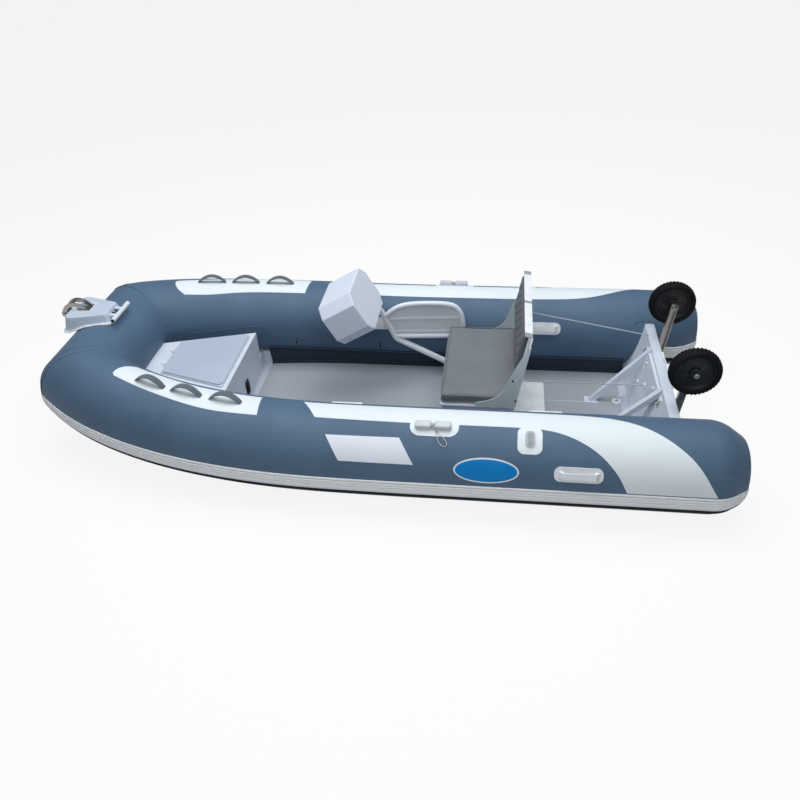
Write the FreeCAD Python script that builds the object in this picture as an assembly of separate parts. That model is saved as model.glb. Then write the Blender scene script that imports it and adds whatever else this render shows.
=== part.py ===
import FreeCAD, Part
import os
from math import cos, radians, sin, tan
from FreeCAD import Placement, Rotation, Vector

# Rigid inflatable boat with a side console, bench seat and launching wheels.
# Millimetres. +X runs to the bow, +Y to port and +Z up. The origin lies on the
# centreline amidships, at the height of the tubes' underside, where it floats.

# Buoyancy tubes
tube_diameter = 450.0
beam = 1753.0
stern_x = -1800.0
bend_x = 197.0
corner_x = 1581.7
corner_y = 355.0
bend_pull = 0.703
sheer_start_x = -376.0
sheer_rise = 122.0
sheer_power = 2.77
cone_length = 112.0
cone_tip_share = 0.63
cone_edge_radius = 40.0

# Rubbing strake
strake_top_angle = -0.5
strake_bottom_angle = -22.0
strake_base = 5.0
strake_rib = 11.0
strake_ribs = (0.16, 0.16, 0.16, 0.40)
strake_groove = 0.04
strake_bite = 6.0
strake_wrap_start_x = -1600.0
strake_corner_radius = 55.0

# Aluminium hull and deck
keel_depth = 190.0
chine_y = 560.0
chine_height = -22.0
hull_aft_x = -1620.0
hull_straight_x = 150.0
stem_x = 1500.0
stem_half = 45.0
stem_z = 100.0
hull_inset = 165.0
flange_height = 55.0
deck_thickness = 10.0
deck_front_x = 850.0
keel_bar_width = 22.0
keel_bar_depth = 14.0
knuckle_share = 0.44
plan_power = 2.3
keel_power = 2.0
chine_power = 3.2
flange_flare = 20.0

# Transom
transom_foot_x = -1385.0
transom_height = 350.0
transom_rake = 15.3
transom_thickness = 49.0
transom_half_width = 480.0
transom_foot_height = 95.0
transom_foot_reach = 60.0
pad_half_width = 175.0
pad_thickness = 14.0
pad_outer_height = 260.0
pad_inner_height = 190.0
pad_inner_drop = 15.0
pad_outer_drop = 6.0
brace_size = 30.0
brace_top_y = 195.0
brace_foot_y = 160.0
brace_top_drop = 25.0
brace_foot_reach = 205.0
brace_foot_aft = 40.0
brace_foot_front = 35.0
brace_plate = 4.0

# Bow locker
locker_aft_x = 830.0
locker_front_x = 1385.0
locker_height = 300.0
locker_aft_half = 312.0
locker_front_half = 150.0
locker_wall = 6.0
locker_floor_z = 140.0
locker_foot_z = 60.0
locker_stem_z = 120.0
lid_front_x = 1262.0
lid_margin = 24.0
lid_thickness = 9.0
lid_seat = 22.0
lid_gap = 0.3
lid_hinge_gap = 8.0
lid_corner_radius = 14.0
hinge_half_span = 70.0
hinge_drop = 7.5
hinge_pin_radius = 3.0
hinge_knuckle_radius = 6.0
hinge_knuckle = 14.0
hinge_leaf = 2.5
hinge_reach = 30.0
hinge_play = 0.5

# Bench seat
seat_front_x = -342.0
seat_aft_x = -737.0
seat_half_width = 355.0
seat_box_height = 310.0
seat_side_inset = 12.0
seat_lip_height = 12.0
seat_corner_radius = 20.0
cushion_thickness = 60.0
cushion_inset = 12.0
cushion_edge_radius = 18.0
bracket_thickness = 5.0
bracket_gap = 0.3
bracket_top_z = 640.0
bracket_top_width = 17.0
bracket_top_back = 48.0
bracket_foot_rise = 2.0
bracket_foot_front_x = -526.0
bracket_curve = ((-530.0, 331.0), (-640.0, 362.0), (-672.0, 420.0))
back_bottom_z = 505.0
back_top_z = 725.0
back_bottom_x = -738.0
back_lean = 10.5
back_panel_thickness = 18.0
back_pad_thickness = 20.0
splash_panel_reach = 135.0
splash_panel_y = 177.0
splash_panel_thickness = 4.0
splash_panel_rise = 15.0

# Side console
frame_y = -385.0
frame_tube_radius = 16.0
stem_line = ((-569.0, -30.0), (-20.0, 250.0), (62.0, 430.0), (140.0, 520.0))
stem_bend = 60.0
hoop_tube_radius = 13.0
hoop_line = ((-8.0, 262.0), (-445.0, 282.0), (-430.0, 400.0), (-370.0, 492.0), (-70.0, 490.0), (40.0, 400.0))
hoop_bend = 80.0
frame_foot_x = (-530.0, -440.0)
frame_foot_outboard = 20.0
frame_foot_inboard = 30.0
frame_foot_plate = 5.0
side_panel_thickness = 4.0
pod_width = 400.0
pod_height = 262.0
pod_depth = 215.0
pod_tilt = 30.0
pod_x = 115.0
pod_y = -235.0
pod_z = 600.0
pod_corner_across = 50.0
pod_corner_up = 58.0
pod_edge_radius = 6.0

# Launching wheels
wheel_diameter = 252.0
wheel_width = 60.0
rim_radius = 92.0
rim_inset = 8.0
hub_radius = 26.0
hub_inset = 6.0
dish_radius = 80.0
web_half = 6.0
tyre_shoulder = 12.0
wheel_y = 345.0
hub_x = -1580.0
hub_z = 560.0
leg_y = 285.0
leg_pivot_x = -1531.0
leg_pivot_z = 150.0
leg_width = 36.0
leg_depth = 24.0
leg_wall = 4.0
leg_overrun = 18.0
wheel_bracket_width = 80.0
wheel_bracket_height = 90.0
wheel_bracket_plate = 5.0
wheel_ear_plate = 4.0
wheel_ear_half_tip = 16.0
wheel_ear_reach = 14.0
pivot_pin_radius = 6.0
pivot_gap = 0.05
axle_radius = 8.0
axle_overrun = 12.0
running_gap = 0.08

# Bow fittings
step_top_z = 622.0
step_skirt = 95.0
step_flare = 12.0
step_front_x = 1765.0
step_aft_x = 1535.0
step_front_half = 136.0
step_aft_half = 72.0
step_front_corner = 38.0
step_aft_corner = 16.0
step_slot_aft_x = 1648.0
step_slot_front_x = 1738.0
step_slot_half = 42.0
step_slot_depth = 12.0
roller_radius = 22.0
roller_x = 1808.0
roller_z = 588.0
roller_half_gap = 28.0
roller_side_gap = 2.0
roller_pin_radius = 5.0
cheek_thickness = 4.0
cheek_width = 24.0
cheek_rise = 42.0
cleat_x = 1487.0
cleat_half_length = 104.0
cleat_radius = 13.0
cleat_drop = 24.0
cleat_post_y = 40.0
cleat_post_radius = 9.0
eye_x = 1330.0
eye_hole_radius = 10.0
eye_outer_radius = 27.0
eye_thickness = 12.0
eye_drop = 20.0

# Tube fittings
grab_handle_x = (710.0, 925.0, 1130.0)
grab_handle_length = 170.0
grab_handle_rise = 42.0
grab_handle_width = 34.0
grab_strap = 4.0
grab_starboard_shift = 40.0
rowlock_x = -345.0
rowlock_angle = 82.0
rowlock_half = 100.0
rowlock_base_half = 28.0
rowlock_block_near = 18.0
rowlock_block_far = 88.0
rowlock_block_half = 17.0
rowlock_block_top = 26.0
rowlock_base_height = 6.0
rowlock_chamfer = 7.0
rowlock_post_radius = 8.0
rowlock_collar_radius = 13.0
lift_outboard_x = -1022.0
lift_outboard_angle = 22.0
lift_inboard_x = (-885.0, 130.0)
lift_inboard_angle = 157.0
lift_handle_length = 222.0
lift_handle_rise = 34.0
lift_grip_width = 30.0
lift_grip_thickness = 8.0
lift_grip_end = 14.0
lift_grip_slope = 20.0
lift_grip_root = 22.0
lift_pad_width = 72.0
lift_pad_thickness = 4.0
fitting_root = 6.0
valve_x = -798.0
valve_angle = 62.0
valve_half_width = 22.0
valve_half_height = 38.0
valve_rise = 9.0

# Derived sizes
tube_radius = tube_diameter / 2.0
side_y = (beam - tube_diameter) / 2.0
axis_z = tube_radius
tip_radius = tube_radius * cone_tip_share
deck_edge_y = side_y - hull_inset
deck_z = deck_thickness
rake_slope = tan(radians(transom_rake))
UP = Vector(0, 0, 1)
hinge_y = (-hinge_half_span, hinge_half_span)


def rise(x):
    share = (x - sheer_start_x) / (corner_x - sheer_start_x)
    return sheer_rise * min(1.0, max(0.0, share)) ** sheer_power


def bend_station(t, offset=0.0, height=0.0):
    """Point on the bend of the port tube's centreline, moved outboard by offset."""
    pull_x = bend_x + bend_pull * (corner_x - bend_x)
    x = (1 - t) ** 2 * bend_x + 2 * t * (1 - t) * pull_x + t * t * corner_x
    y = (1 - t * t) * side_y + t * t * corner_y
    dx = 2 * (1 - t) * (pull_x - bend_x) + 2 * t * (corner_x - pull_x)
    dy = 2 * t * (corner_y - side_y)
    outboard = Vector(-dy, dx, 0).normalize()
    return Vector(x, y, axis_z + height + rise(x)) + outboard * offset


def bend_direction(t):
    step = 0.001
    return (bend_station(t) - bend_station(t - step)).normalize()


def bend_parameter(x):
    low, high = 0.0, 1.0
    for _ in range(40):
        middle = (low + high) / 2
        low, high = (middle, high) if bend_station(middle).x < x else (low, middle)
    return low


def box(x0, x1, y0, y1, z0, z1):
    return Part.makeBox(x1 - x0, y1 - y0, z1 - z0, Vector(x0, y0, z0))


def rod(start, end, radius):
    return Part.makeCylinder(radius, (end - start).Length, start, end - start)


def mirrored(shape):
    return shape.mirror(Vector(0, 0, 0), Vector(0, 1, 0))


def joined(shapes):
    return shapes[0].fuse(list(shapes[1:])).removeSplitter()


def largest_solid(shape):
    return max(shape.Solids, key=lambda solid: solid.Volume)


def prism(points, along):
    face = Part.Face(Part.makePolygon(list(points) + [points[0]]))
    return face.extrude(along)


def half_space(point, normal, size=3000.0):
    block = Part.makeBox(size, size, size, Vector(-size / 2, -size / 2, 0))
    block.Placement = Placement(point, Rotation(UP, normal))
    return block


def rounded_path(points, radius):
    """Straight runs joined by tangent arcs at the inner points."""
    edges = []
    start = points[0]
    for before, corner, after in zip(points, points[1:], points[2:]):
        back = (before - corner).normalize()
        ahead = (after - corner).normalize()
        half = back.getAngle(ahead) / 2
        reach = radius / tan(half)
        middle = corner + (back + ahead).normalize() * (radius / sin(half) - radius)
        first, last = corner + back * reach, corner + ahead * reach
        edges += [Part.makeLine(start, first), Part.Arc(first, middle, last).toShape()]
        start = last
    edges.append(Part.makeLine(start, points[-1]))
    return Part.Wire(edges)


def bent_rod(points, radius, bend):
    path = rounded_path(points, bend)
    ring = Part.Wire(Part.makeCircle(radius, points[0], points[1] - points[0]))
    return path.makePipeShell([ring], True, True)


def filleted(shape, radius, pick):
    edges = [edge for edge in shape.Edges if pick(edge)]
    return shape.makeFillet(radius, edges)


def vertical(edge):
    ends = [v.Point for v in edge.Vertexes]
    return len(ends) == 2 and abs((ends[1] - ends[0]).normalize().z) > 0.9


def tube_frame(x, angle):
    """Frame on the port tube: X along the tube and Z out of its skin.

    The angle runs from outboard at 0 over the top at 90 to inboard at 180."""
    if x > bend_x:
        t = bend_parameter(x)
        centre, ahead = bend_station(t), bend_direction(max(t, 0.01))
    else:
        centre, ahead = Vector(x, side_y, axis_z + rise(x)), Vector(1, 0, 0)
    across = UP.cross(ahead).normalize()
    out = across * cos(radians(angle)) + ahead.cross(across) * sin(radians(angle))
    return Placement(centre + out * tube_radius, Rotation(ahead, Vector(), out, "XZY"))


# Tubes: two side tubes, mitred to a straight bow tube
def side_curve(offset, height):
    """Port tube's line forward of the sheer's start, at an offset and height."""
    straight = [sheer_start_x + (bend_x - sheer_start_x) * i / 3 for i in range(3)]
    points = [Vector(x, side_y + offset, axis_z + height + rise(x)) for x in straight]
    points += [bend_station(i / 6, offset, height) for i in range(7)]
    curve = Part.BSplineCurve()
    curve.interpolate(Points=points, InitialTangent=Vector(1, 0, 0), FinalTangent=bend_direction(1.0))
    overrun = points[-1] + bend_direction(1.0) * tube_diameter
    return [curve.toShape(), Part.makeLine(points[-1], overrun)]


def upright_sweep(section, edges):
    sweep = Part.BRepOffsetAPI.MakePipeShell(Part.Wire(edges))
    sweep.setBiNormalMode(UP)
    sweep.add(section, False, False)
    sweep.build()
    sweep.makeSolid()
    return sweep.shape()


mitre_point = bend_station(1.0)
mitre_normal = (bend_direction(1.0) + Vector(0, -1, 0)).normalize()


def make_side_tube():
    start = Vector(stern_x + cone_length, side_y, axis_z)
    aft_line = Part.makeLine(start, Vector(sheer_start_x, side_y, axis_z))
    ring = Part.Wire(Part.makeCircle(tube_radius, start, Vector(1, 0, 0)))
    run = upright_sweep(ring, [aft_line] + side_curve(0.0, 0.0))
    run = run.cut(half_space(mitre_point, mitre_normal))
    cone = Part.makeCone(tip_radius, tube_radius, cone_length, Vector(stern_x, side_y, axis_z), Vector(1, 0, 0))
    cone = filleted(cone, cone_edge_radius, lambda e: e.BoundBox.XMax < stern_x + 1)
    return run.fuse(cone)


def make_bow_tube():
    top = Vector(corner_x, corner_y + tube_diameter, mitre_point.z)
    bow = rod(top, Vector(top.x, -top.y, top.z), tube_radius)
    keep_off = half_space(mitre_point, mitre_normal * -1)
    return bow.cut(keep_off).cut(mirrored(keep_off))


tube_port = make_side_tube()
tube_starboard = mirrored(tube_port)
tube_bow = make_bow_tube()
tubes = [tube_port, tube_starboard, tube_bow]


# Strake: a ribbed band round the outboard side and the stern cones
def strake_outline():
    """Section as offsets from the tube's outermost line: outboard and up."""
    span = strake_top_angle - strake_bottom_angle
    polar = [(tube_radius + strake_base, strake_top_angle)]
    share = 0.0
    for rib in strake_ribs:
        for at in (share + 0.01, share + rib - 0.01):
            polar.append((tube_radius + strake_rib, strake_top_angle - span * at))
        for at in (share + rib, share + rib + strake_groove):
            polar.append((tube_radius + strake_base, strake_top_angle - span * min(1.0, at)))
        share += rib + strake_groove
    polar.pop()
    for i in range(3, -1, -1):
        polar.append((tube_radius - strake_bite, strake_top_angle - span * i / 3))
    return [(r * cos(radians(a)) - tube_radius, r * sin(radians(a))) for r, a in polar]


def strake_section(origin, outboard):
    points = [origin + outboard * o + UP * h for o, h in strake_outline()]
    return Part.makePolygon(points + [points[0]])


def make_side_strake():
    cone_x = stern_x + cone_length
    aft = [(strake_wrap_start_x, -tube_radius), (cone_x, -tube_radius), (stern_x, -tip_radius),
           (stern_x, tip_radius), (cone_x, tube_radius), (sheer_start_x, tube_radius)]
    points = [Vector(x, side_y + o, axis_z) for x, o in aft]
    edges = list(rounded_path(points, strake_corner_radius).Edges) + side_curve(tube_radius, 0.0)
    band = upright_sweep(strake_section(points[0], Vector(0, -1, 0)), edges)
    return band.cut(half_space(mitre_point, mitre_normal)).cut(tube_port)


def make_bow_strake():
    start = Vector(corner_x + tube_radius, corner_y + tube_diameter, mitre_point.z)
    face = Part.Face(strake_section(start, Vector(1, 0, 0)))
    band = face.extrude(Vector(0, -2 * start.y, 0))
    keep_off = half_space(mitre_point, mitre_normal * -1)
    return band.cut(keep_off).cut(mirrored(keep_off)).cut(tube_bow)


# Hull: V bottom with a flange under the tubes, hollowed for the cockpit
def inner_edge(offset, front_x):
    """Port side points of a plan outline set in from the tube's centreline."""
    points = [Vector(stern_x, side_y - offset, 0), Vector(bend_x, side_y - offset, 0)]
    for i in range(1, 13):
        point = bend_station(i / 12, -offset)
        if point.x < front_x:
            points.append(Vector(point.x, point.y, 0))
    last, after = points[-1], bend_station(min(1.0, bend_parameter(points[-1].x) + 0.3), -offset)
    share = (front_x - last.x) / max(1.0, after.x - last.x)
    points.append(Vector(front_x, last.y + (after.y - last.y) * min(1.0, share), 0))
    return points


def plan_outline(offset, front_x):
    port = inner_edge(offset, front_x)
    return port + [Vector(p.x, -p.y, 0) for p in reversed(port)]


def hull_half_section(x):
    """Half of the hull's section at x: keel, knuckle, chine and flange."""
    forward = max(0.0, (x - hull_straight_x) / (stem_x - hull_straight_x))
    half = chine_y + (stem_half - chine_y) * forward ** plan_power
    keel_z = -keel_depth + (stem_z + keel_depth) * forward ** keel_power
    chine_z = chine_height + (stem_z + 10 - chine_height) * forward ** chine_power
    knuckle_z = keel_z + (chine_z - keel_z) * knuckle_share
    return [(0, keel_z), (half * 0.5, knuckle_z), (half, chine_z),
            (half + flange_flare, flange_height + rise(x))]


def make_bow_eye():
    """Welded lug below the stem, drilled across for a tow line or winch hook."""
    keel_z = hull_half_section(eye_x)[0][1]
    centre = Vector(eye_x, -eye_thickness / 2, keel_z - eye_drop)
    across = Vector(0, eye_thickness, 0)
    lug = rod(centre, centre + across, eye_outer_radius)
    r = eye_outer_radius
    gusset = [(-2 * r, eye_drop), (-0.8 * r, -0.6 * r), (0.9 * r, -0.4 * r), (2 * r, 2.6 * eye_drop)]
    root = prism([centre + Vector(x, 0, z) for x, z in gusset], across)
    hole = rod(centre - across, centre + across * 2, eye_hole_radius)
    return lug.fuse(root).removeSplitter().cut(hole).cut(hull_shell)


def make_hull():
    sections = []
    for x in [hull_aft_x] + [hull_straight_x + (stem_x - hull_straight_x) * i / 7 for i in range(8)]:
        port = hull_half_section(x)
        points = [Vector(x, y, z) for y, z in port] + [Vector(x, -y, z) for y, z in reversed(port[1:])]
        sections.append(Part.makePolygon(points + [points[0]]))
    shell = Part.makeLoft(sections, True, True)
    well = prism(plan_outline(hull_inset, deck_front_x), Vector(0, 0, flange_height + sheer_rise))
    keel = box(hull_aft_x, hull_straight_x, -keel_bar_width / 2, keel_bar_width / 2,
               -keel_depth - keel_bar_depth, -keel_depth + 20)
    hull = shell.fuse(keel).cut(well)
    for tube in tubes:
        hull = hull.cut(tube)
    return hull.cut(transom_back())


def transom_line(z):
    """Forward face of the raked transom at a height."""
    return transom_foot_x - rake_slope * z


def raked_slab(front, back, half_width, z0, z1):
    """Block parallel to the transom, front and back measured aft of its face."""
    corners = [(transom_line(z0) - front, z0), (transom_line(z1) - front, z1),
               (transom_line(z1) - back, z1), (transom_line(z0) - back, z0)]
    points = [Vector(x, -half_width, z) for x, z in corners]
    return prism(points, Vector(0, 2 * half_width, 0))


def transom_back():
    return raked_slab(transom_thickness, 900.0, beam, -keel_depth - 100, flange_height + 100)


def make_deck():
    plate = prism(plan_outline(hull_inset, deck_front_x), Vector(0, 0, deck_thickness))
    return plate.cut(raked_slab(0.0, 900.0, beam, -100, 100))


def make_transom():
    board = raked_slab(0.0, transom_thickness, transom_half_width, 0.0, transom_height)
    board = board.fuse(raked_slab(0.0, transom_thickness, deck_edge_y + transom_foot_reach, 0.0, transom_foot_height))
    for tube in (tube_port, tube_starboard):
        board = board.cut(tube)
    return board.cut(hull_shell)


def make_motor_pad(back, height, drop):
    """Clamping pad whose aft face lies at back, its top edge a drop below the transom's."""
    top = transom_height - drop
    return raked_slab(back - pad_thickness, back, pad_half_width, top - height, top)


def make_brace():
    top_z = transom_height - brace_top_drop
    foot = Vector(transom_foot_x + brace_foot_reach, brace_foot_y, deck_z)
    top = Vector(transom_line(top_z), brace_top_y, top_z)
    run = top - foot
    bar = Part.makeBox(brace_size, brace_size, run.Length + 4 * brace_size,
                       Vector(-brace_size / 2, -brace_size / 2, -2 * brace_size))
    bar.Placement = Placement(foot, Rotation(UP, run))
    bar = bar.cut(box(-3000, 3000, -900, 900, -900, deck_z))
    bar = bar.cut(raked_slab(0.0, 900.0, beam, -100, 900))
    plate = box(foot.x - brace_foot_aft, foot.x + brace_foot_front, foot.y - brace_size, foot.y + brace_size,
                deck_z, deck_z + brace_plate)
    return bar.fuse(plate)


# Locker: a trapezoid box whose lid is hinged near the bow
def locker_half(x):
    share = (x - locker_aft_x) / (locker_front_x - locker_aft_x)
    return locker_aft_half + (locker_front_half - locker_aft_half) * share


def locker_block(aft_x, front_x, inset, z0, z1):
    aft, front = locker_half(aft_x) - inset, locker_half(front_x) - inset
    points = [Vector(aft_x, aft, z0), Vector(front_x, front, z0),
              Vector(front_x, -front, z0), Vector(aft_x, -aft, z0)]
    return prism(points, Vector(0, 0, z1 - z0))


def make_locker():
    side = [(locker_aft_x, deck_z), (deck_front_x, deck_z), (deck_front_x, locker_foot_z),
            (locker_front_x, locker_stem_z), (locker_front_x, locker_height), (locker_aft_x, locker_height)]
    slab = prism([Vector(x, -beam / 2, z) for x, z in side], Vector(0, beam, 0))
    outer = locker_block(locker_aft_x, locker_front_x, 0.0, 0.0, locker_height).common(slab)
    inner = locker_block(locker_aft_x + locker_wall, lid_front_x, locker_wall, locker_floor_z,
                         locker_height - locker_wall)
    mouth = locker_block(locker_aft_x + lid_margin + lid_seat, lid_front_x - lid_seat, lid_margin + lid_seat,
                         locker_floor_z, locker_height + lid_thickness)
    shell = outer.cut(inner).cut(mouth)
    for tube in tubes:
        shell = shell.cut(tube)
    return largest_solid(shell.cut(hull_shell))


def hinge_knuckle_rod(y, width, radius):
    centre = Vector(lid_front_x, y - width / 2, locker_height + hinge_drop)
    return rod(centre, centre + Vector(0, width, 0), radius)


def make_lid():
    top = locker_height + lid_thickness
    lid = locker_block(locker_aft_x + lid_margin, lid_front_x - lid_hinge_gap, lid_margin, locker_height + lid_gap,
                       top)
    lid = filleted(lid, lid_corner_radius, vertical)
    for y in hinge_y:
        leaf = box(lid_front_x - hinge_reach, lid_front_x, y - hinge_knuckle / 2, y + hinge_knuckle / 2,
                   top, top + hinge_leaf)
        knuckle = hinge_knuckle_rod(y, hinge_knuckle, hinge_knuckle_radius)
        lid = lid.fuse([leaf, knuckle]).cut(hinge_knuckle_rod(y, 2 * hinge_knuckle, hinge_pin_radius + running_gap))
    return lid


def make_hinges():
    hinges = []
    for y in hinge_y:
        slot = hinge_knuckle + 2 * hinge_play
        width = slot + 2 * hinge_knuckle
        fixed = hinge_knuckle_rod(y, width, hinge_knuckle_radius)
        leaf = box(lid_front_x, lid_front_x + hinge_reach, y - width / 2, y + width / 2, locker_height,
                   locker_height + hinge_leaf)
        fixed = fixed.fuse(leaf)
        fixed = fixed.cut(box(lid_front_x - hinge_reach, lid_front_x + 1.5 * hinge_knuckle_radius, y - slot / 2,
                              y + slot / 2, 0, 2 * locker_height))
        hinges.append(fixed.fuse(hinge_knuckle_rod(y, width, hinge_pin_radius)))
    return Part.makeCompound(hinges)


# Seat
def make_seat_box():
    side = seat_half_width - seat_side_inset
    body = filleted(box(seat_aft_x, seat_front_x, -side, side, deck_z, seat_box_height), seat_corner_radius, vertical)
    lip = box(seat_aft_x, seat_front_x, -seat_half_width, seat_half_width, seat_box_height - seat_lip_height,
              seat_box_height)
    splash = box(seat_aft_x - splash_panel_reach, seat_aft_x, splash_panel_y - splash_panel_thickness / 2,
                 splash_panel_y + splash_panel_thickness / 2, deck_z, seat_box_height + splash_panel_rise)
    return body.fuse([filleted(lip, seat_corner_radius, vertical), splash])


def make_cushion():
    pad = box(seat_aft_x, seat_front_x - cushion_inset, -seat_half_width, seat_half_width,
              seat_box_height, seat_box_height + cushion_thickness)
    return filleted(pad, cushion_edge_radius, lambda e: e.BoundBox.ZMax > seat_box_height + 1)


def back_point(up, out):
    """Point in the backrest's side view: up its lean and forward of its face."""
    a = radians(back_lean)
    return (back_bottom_x - up * sin(a) + out * cos(a), back_bottom_z + up * cos(a) + out * sin(a))


def back_slab(out0, out1, up0, up1, half_width):
    corners = [back_point(up0, out0), back_point(up1, out0), back_point(up1, out1), back_point(up0, out1)]
    points = [Vector(x, -half_width, z) for x, z in corners]
    return prism(points, Vector(0, 2 * half_width, 0))


def make_seat_bracket():
    """Side plate: a concave front edge up to the backrest and a straight rear one."""
    y = seat_half_width + bracket_gap
    foot_z = seat_box_height + bracket_foot_rise
    rear_top = Vector(back_bottom_x - bracket_top_back, y, bracket_top_z)
    front_top = rear_top + Vector(bracket_top_width, 0, 0)
    rear_foot = Vector(seat_aft_x + bracket_thickness, y, foot_z)
    front_foot = Vector(bracket_foot_front_x, y, foot_z)
    poles = [Vector(x, y, z) for x, z in bracket_curve] + [front_top]
    curve = Part.BezierCurve()
    curve.setPoles(poles)
    corners = [front_top, rear_top, rear_foot, front_foot, poles[0]]
    sides = [Part.makeLine(start, end) for start, end in zip(corners, corners[1:])]
    return Part.Face(Part.Wire([curve.toShape()] + sides)).extrude(Vector(0, bracket_thickness, 0))


# Console: a pod on a bent tube frame with a side panel
def make_frame():
    stem = bent_rod([Vector(x, frame_y, z) for x, z in stem_line], frame_tube_radius, stem_bend)
    hoop = bent_rod([Vector(x, frame_y, z) for x, z in hoop_line], hoop_tube_radius, hoop_bend)
    foot = box(*frame_foot_x, frame_y - frame_foot_outboard, frame_y + frame_foot_inboard, deck_z,
               deck_z + frame_foot_plate)
    return joined([stem, hoop, foot]).cut(box(-beam, beam, -beam, beam, -beam, deck_z))


def make_side_panel():
    """Sheet that fills the hoop, from its tube's line inwards."""
    y = frame_y - side_panel_thickness / 2
    path = rounded_path([Vector(x, y, z) for x, z in hoop_line], hoop_bend)
    ends = [Vector(x, y, z) for x, z in (hoop_line[-1], hoop_line[0])]
    face = Part.Face(Part.Wire(path.Edges + [Part.makeLine(*ends)]))
    return largest_solid(face.extrude(Vector(0, side_panel_thickness, 0)).cut(console_frame))


def make_pod():
    w, h = pod_width / 2, pod_height / 2
    a, u = pod_corner_across, pod_corner_up
    quarter = [(w - a, h), (w, h - u), (w, -h + u), (w - a, -h)]
    outline = quarter + [(-y, z) for y, z in reversed(quarter)]
    face = [Vector(0, y, z) for y, z in outline]
    pod = prism(face, Vector(pod_depth, 0, 0))
    pod = pod.makeFillet(pod_edge_radius, pod.Edges)
    pod.Placement = Placement(Vector(pod_x, pod_y, pod_z), Rotation(Vector(0, 1, 0), pod_tilt))
    return pod


# Launching wheel, leg and bracket, port side
def make_leg():
    """U channel from the pivot on the transom up to the wheel, with its axle."""
    pivot, hub = Vector(leg_pivot_x, leg_y, leg_pivot_z), Vector(hub_x, leg_y, hub_z)
    run = hub - pivot
    outside = Vector(-leg_width / 2, -leg_depth / 2, -leg_overrun)
    length = run.Length + 2 * leg_overrun
    bar = Part.makeBox(leg_width, leg_depth, length, outside)
    web = Part.makeBox(leg_width - 2 * leg_wall, leg_depth, length + 2 * leg_wall,
                       outside + Vector(leg_wall, -leg_wall, -leg_wall))
    channel = bar.cut(web)
    channel.Placement = Placement(pivot, Rotation(UP, run))
    across = Vector(0, leg_width, 0)
    bore = rod(pivot - across, pivot + across, pivot_pin_radius + pivot_gap)
    axle = rod(hub - Vector(0, leg_depth / 2 + axle_overrun / 2, 0),
               Vector(hub_x, wheel_y + wheel_width / 2 + axle_overrun, hub_z), axle_radius)
    return channel.fuse(axle).cut(bore)


def make_wheel_bracket():
    """Plate on the transom with two ears that hold the leg's pivot pin."""
    z0, z1 = leg_pivot_z - wheel_bracket_height / 2, leg_pivot_z + wheel_bracket_height / 2
    t = wheel_ear_plate
    plate = raked_slab(transom_thickness, transom_thickness + wheel_bracket_plate, wheel_bracket_width / 2, z0, z1)
    plate.translate(Vector(0, leg_y, 0))
    root = transom_thickness + t
    outline = [(transom_line(z0) - root, z0 + t), (transom_line(z1) - root, z1 - t),
               (leg_pivot_x - wheel_ear_reach, leg_pivot_z + wheel_ear_half_tip),
               (leg_pivot_x - wheel_ear_reach, leg_pivot_z - wheel_ear_half_tip)]
    parts = [plate]
    for y in (leg_y - leg_depth / 2 - 1.5 * t, leg_y + leg_depth / 2 + 0.5 * t):
        parts.append(prism([Vector(x, y, z) for x, z in outline], Vector(0, t, 0)))
    reach = Vector(0, leg_depth / 2 + 2 * t, 0)
    pivot = Vector(leg_pivot_x, leg_y, leg_pivot_z)
    parts.append(rod(pivot - reach, pivot + reach, pivot_pin_radius))
    return joined(parts)


def wheel_disc(profile):
    """Revolve a profile of (radius, offset across) round the wheel's axle."""
    points = [Vector(hub_x + r, wheel_y + across, hub_z) for r, across in profile]
    face = Part.Face(Part.makePolygon(points + [points[0]]))
    return face.revolve(Vector(hub_x, wheel_y, hub_z), Vector(0, 1, 0), 360)


def make_rim():
    bore = axle_radius + running_gap
    w = wheel_width / 2
    half = [(bore, w - hub_inset), (hub_radius, w - hub_inset), (hub_radius + 4, web_half), (dish_radius, web_half),
            (rim_radius, w - rim_inset)]
    return wheel_disc([(r, -across) for r, across in half] + list(reversed(half)))


def make_tyre():
    r, w = wheel_diameter / 2, wheel_width / 2
    half = [(rim_radius, w - rim_inset), (rim_radius + 8, w), (r - tyre_shoulder, w), (r, w - 1.4 * tyre_shoulder)]
    return wheel_disc(half + [(reach, -across) for reach, across in reversed(half)])


# Bow fittings
def step_outline(z, grow):
    """Plan outline of the bow step at a height, its corners rounded."""
    front, aft = step_front_half + grow, step_aft_half + grow
    port = [(step_front_x + grow, front), (step_aft_x - grow, aft)]
    corners = port + [(x, -y) for x, y in reversed(port)]
    slab = prism([Vector(x, y, z) for x, y in corners], Vector(0, 0, 1))
    for (x, _), radius in zip(port, (step_front_corner, step_aft_corner)):
        slab = filleted(slab, radius, lambda e: vertical(e) and abs(e.BoundBox.Center.x - x) < 1)
    return min(slab.Faces, key=lambda face: face.BoundBox.ZMax).OuterWire


def make_step():
    body = Part.makeLoft([step_outline(step_top_z - step_skirt, step_flare), step_outline(step_top_z, 0.0)], True, True)
    slot = box(step_slot_aft_x, step_slot_front_x, -step_slot_half, step_slot_half, step_top_z - step_slot_depth,
               step_top_z + 5)
    return body.cut(slot).cut(tube_bow)


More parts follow.
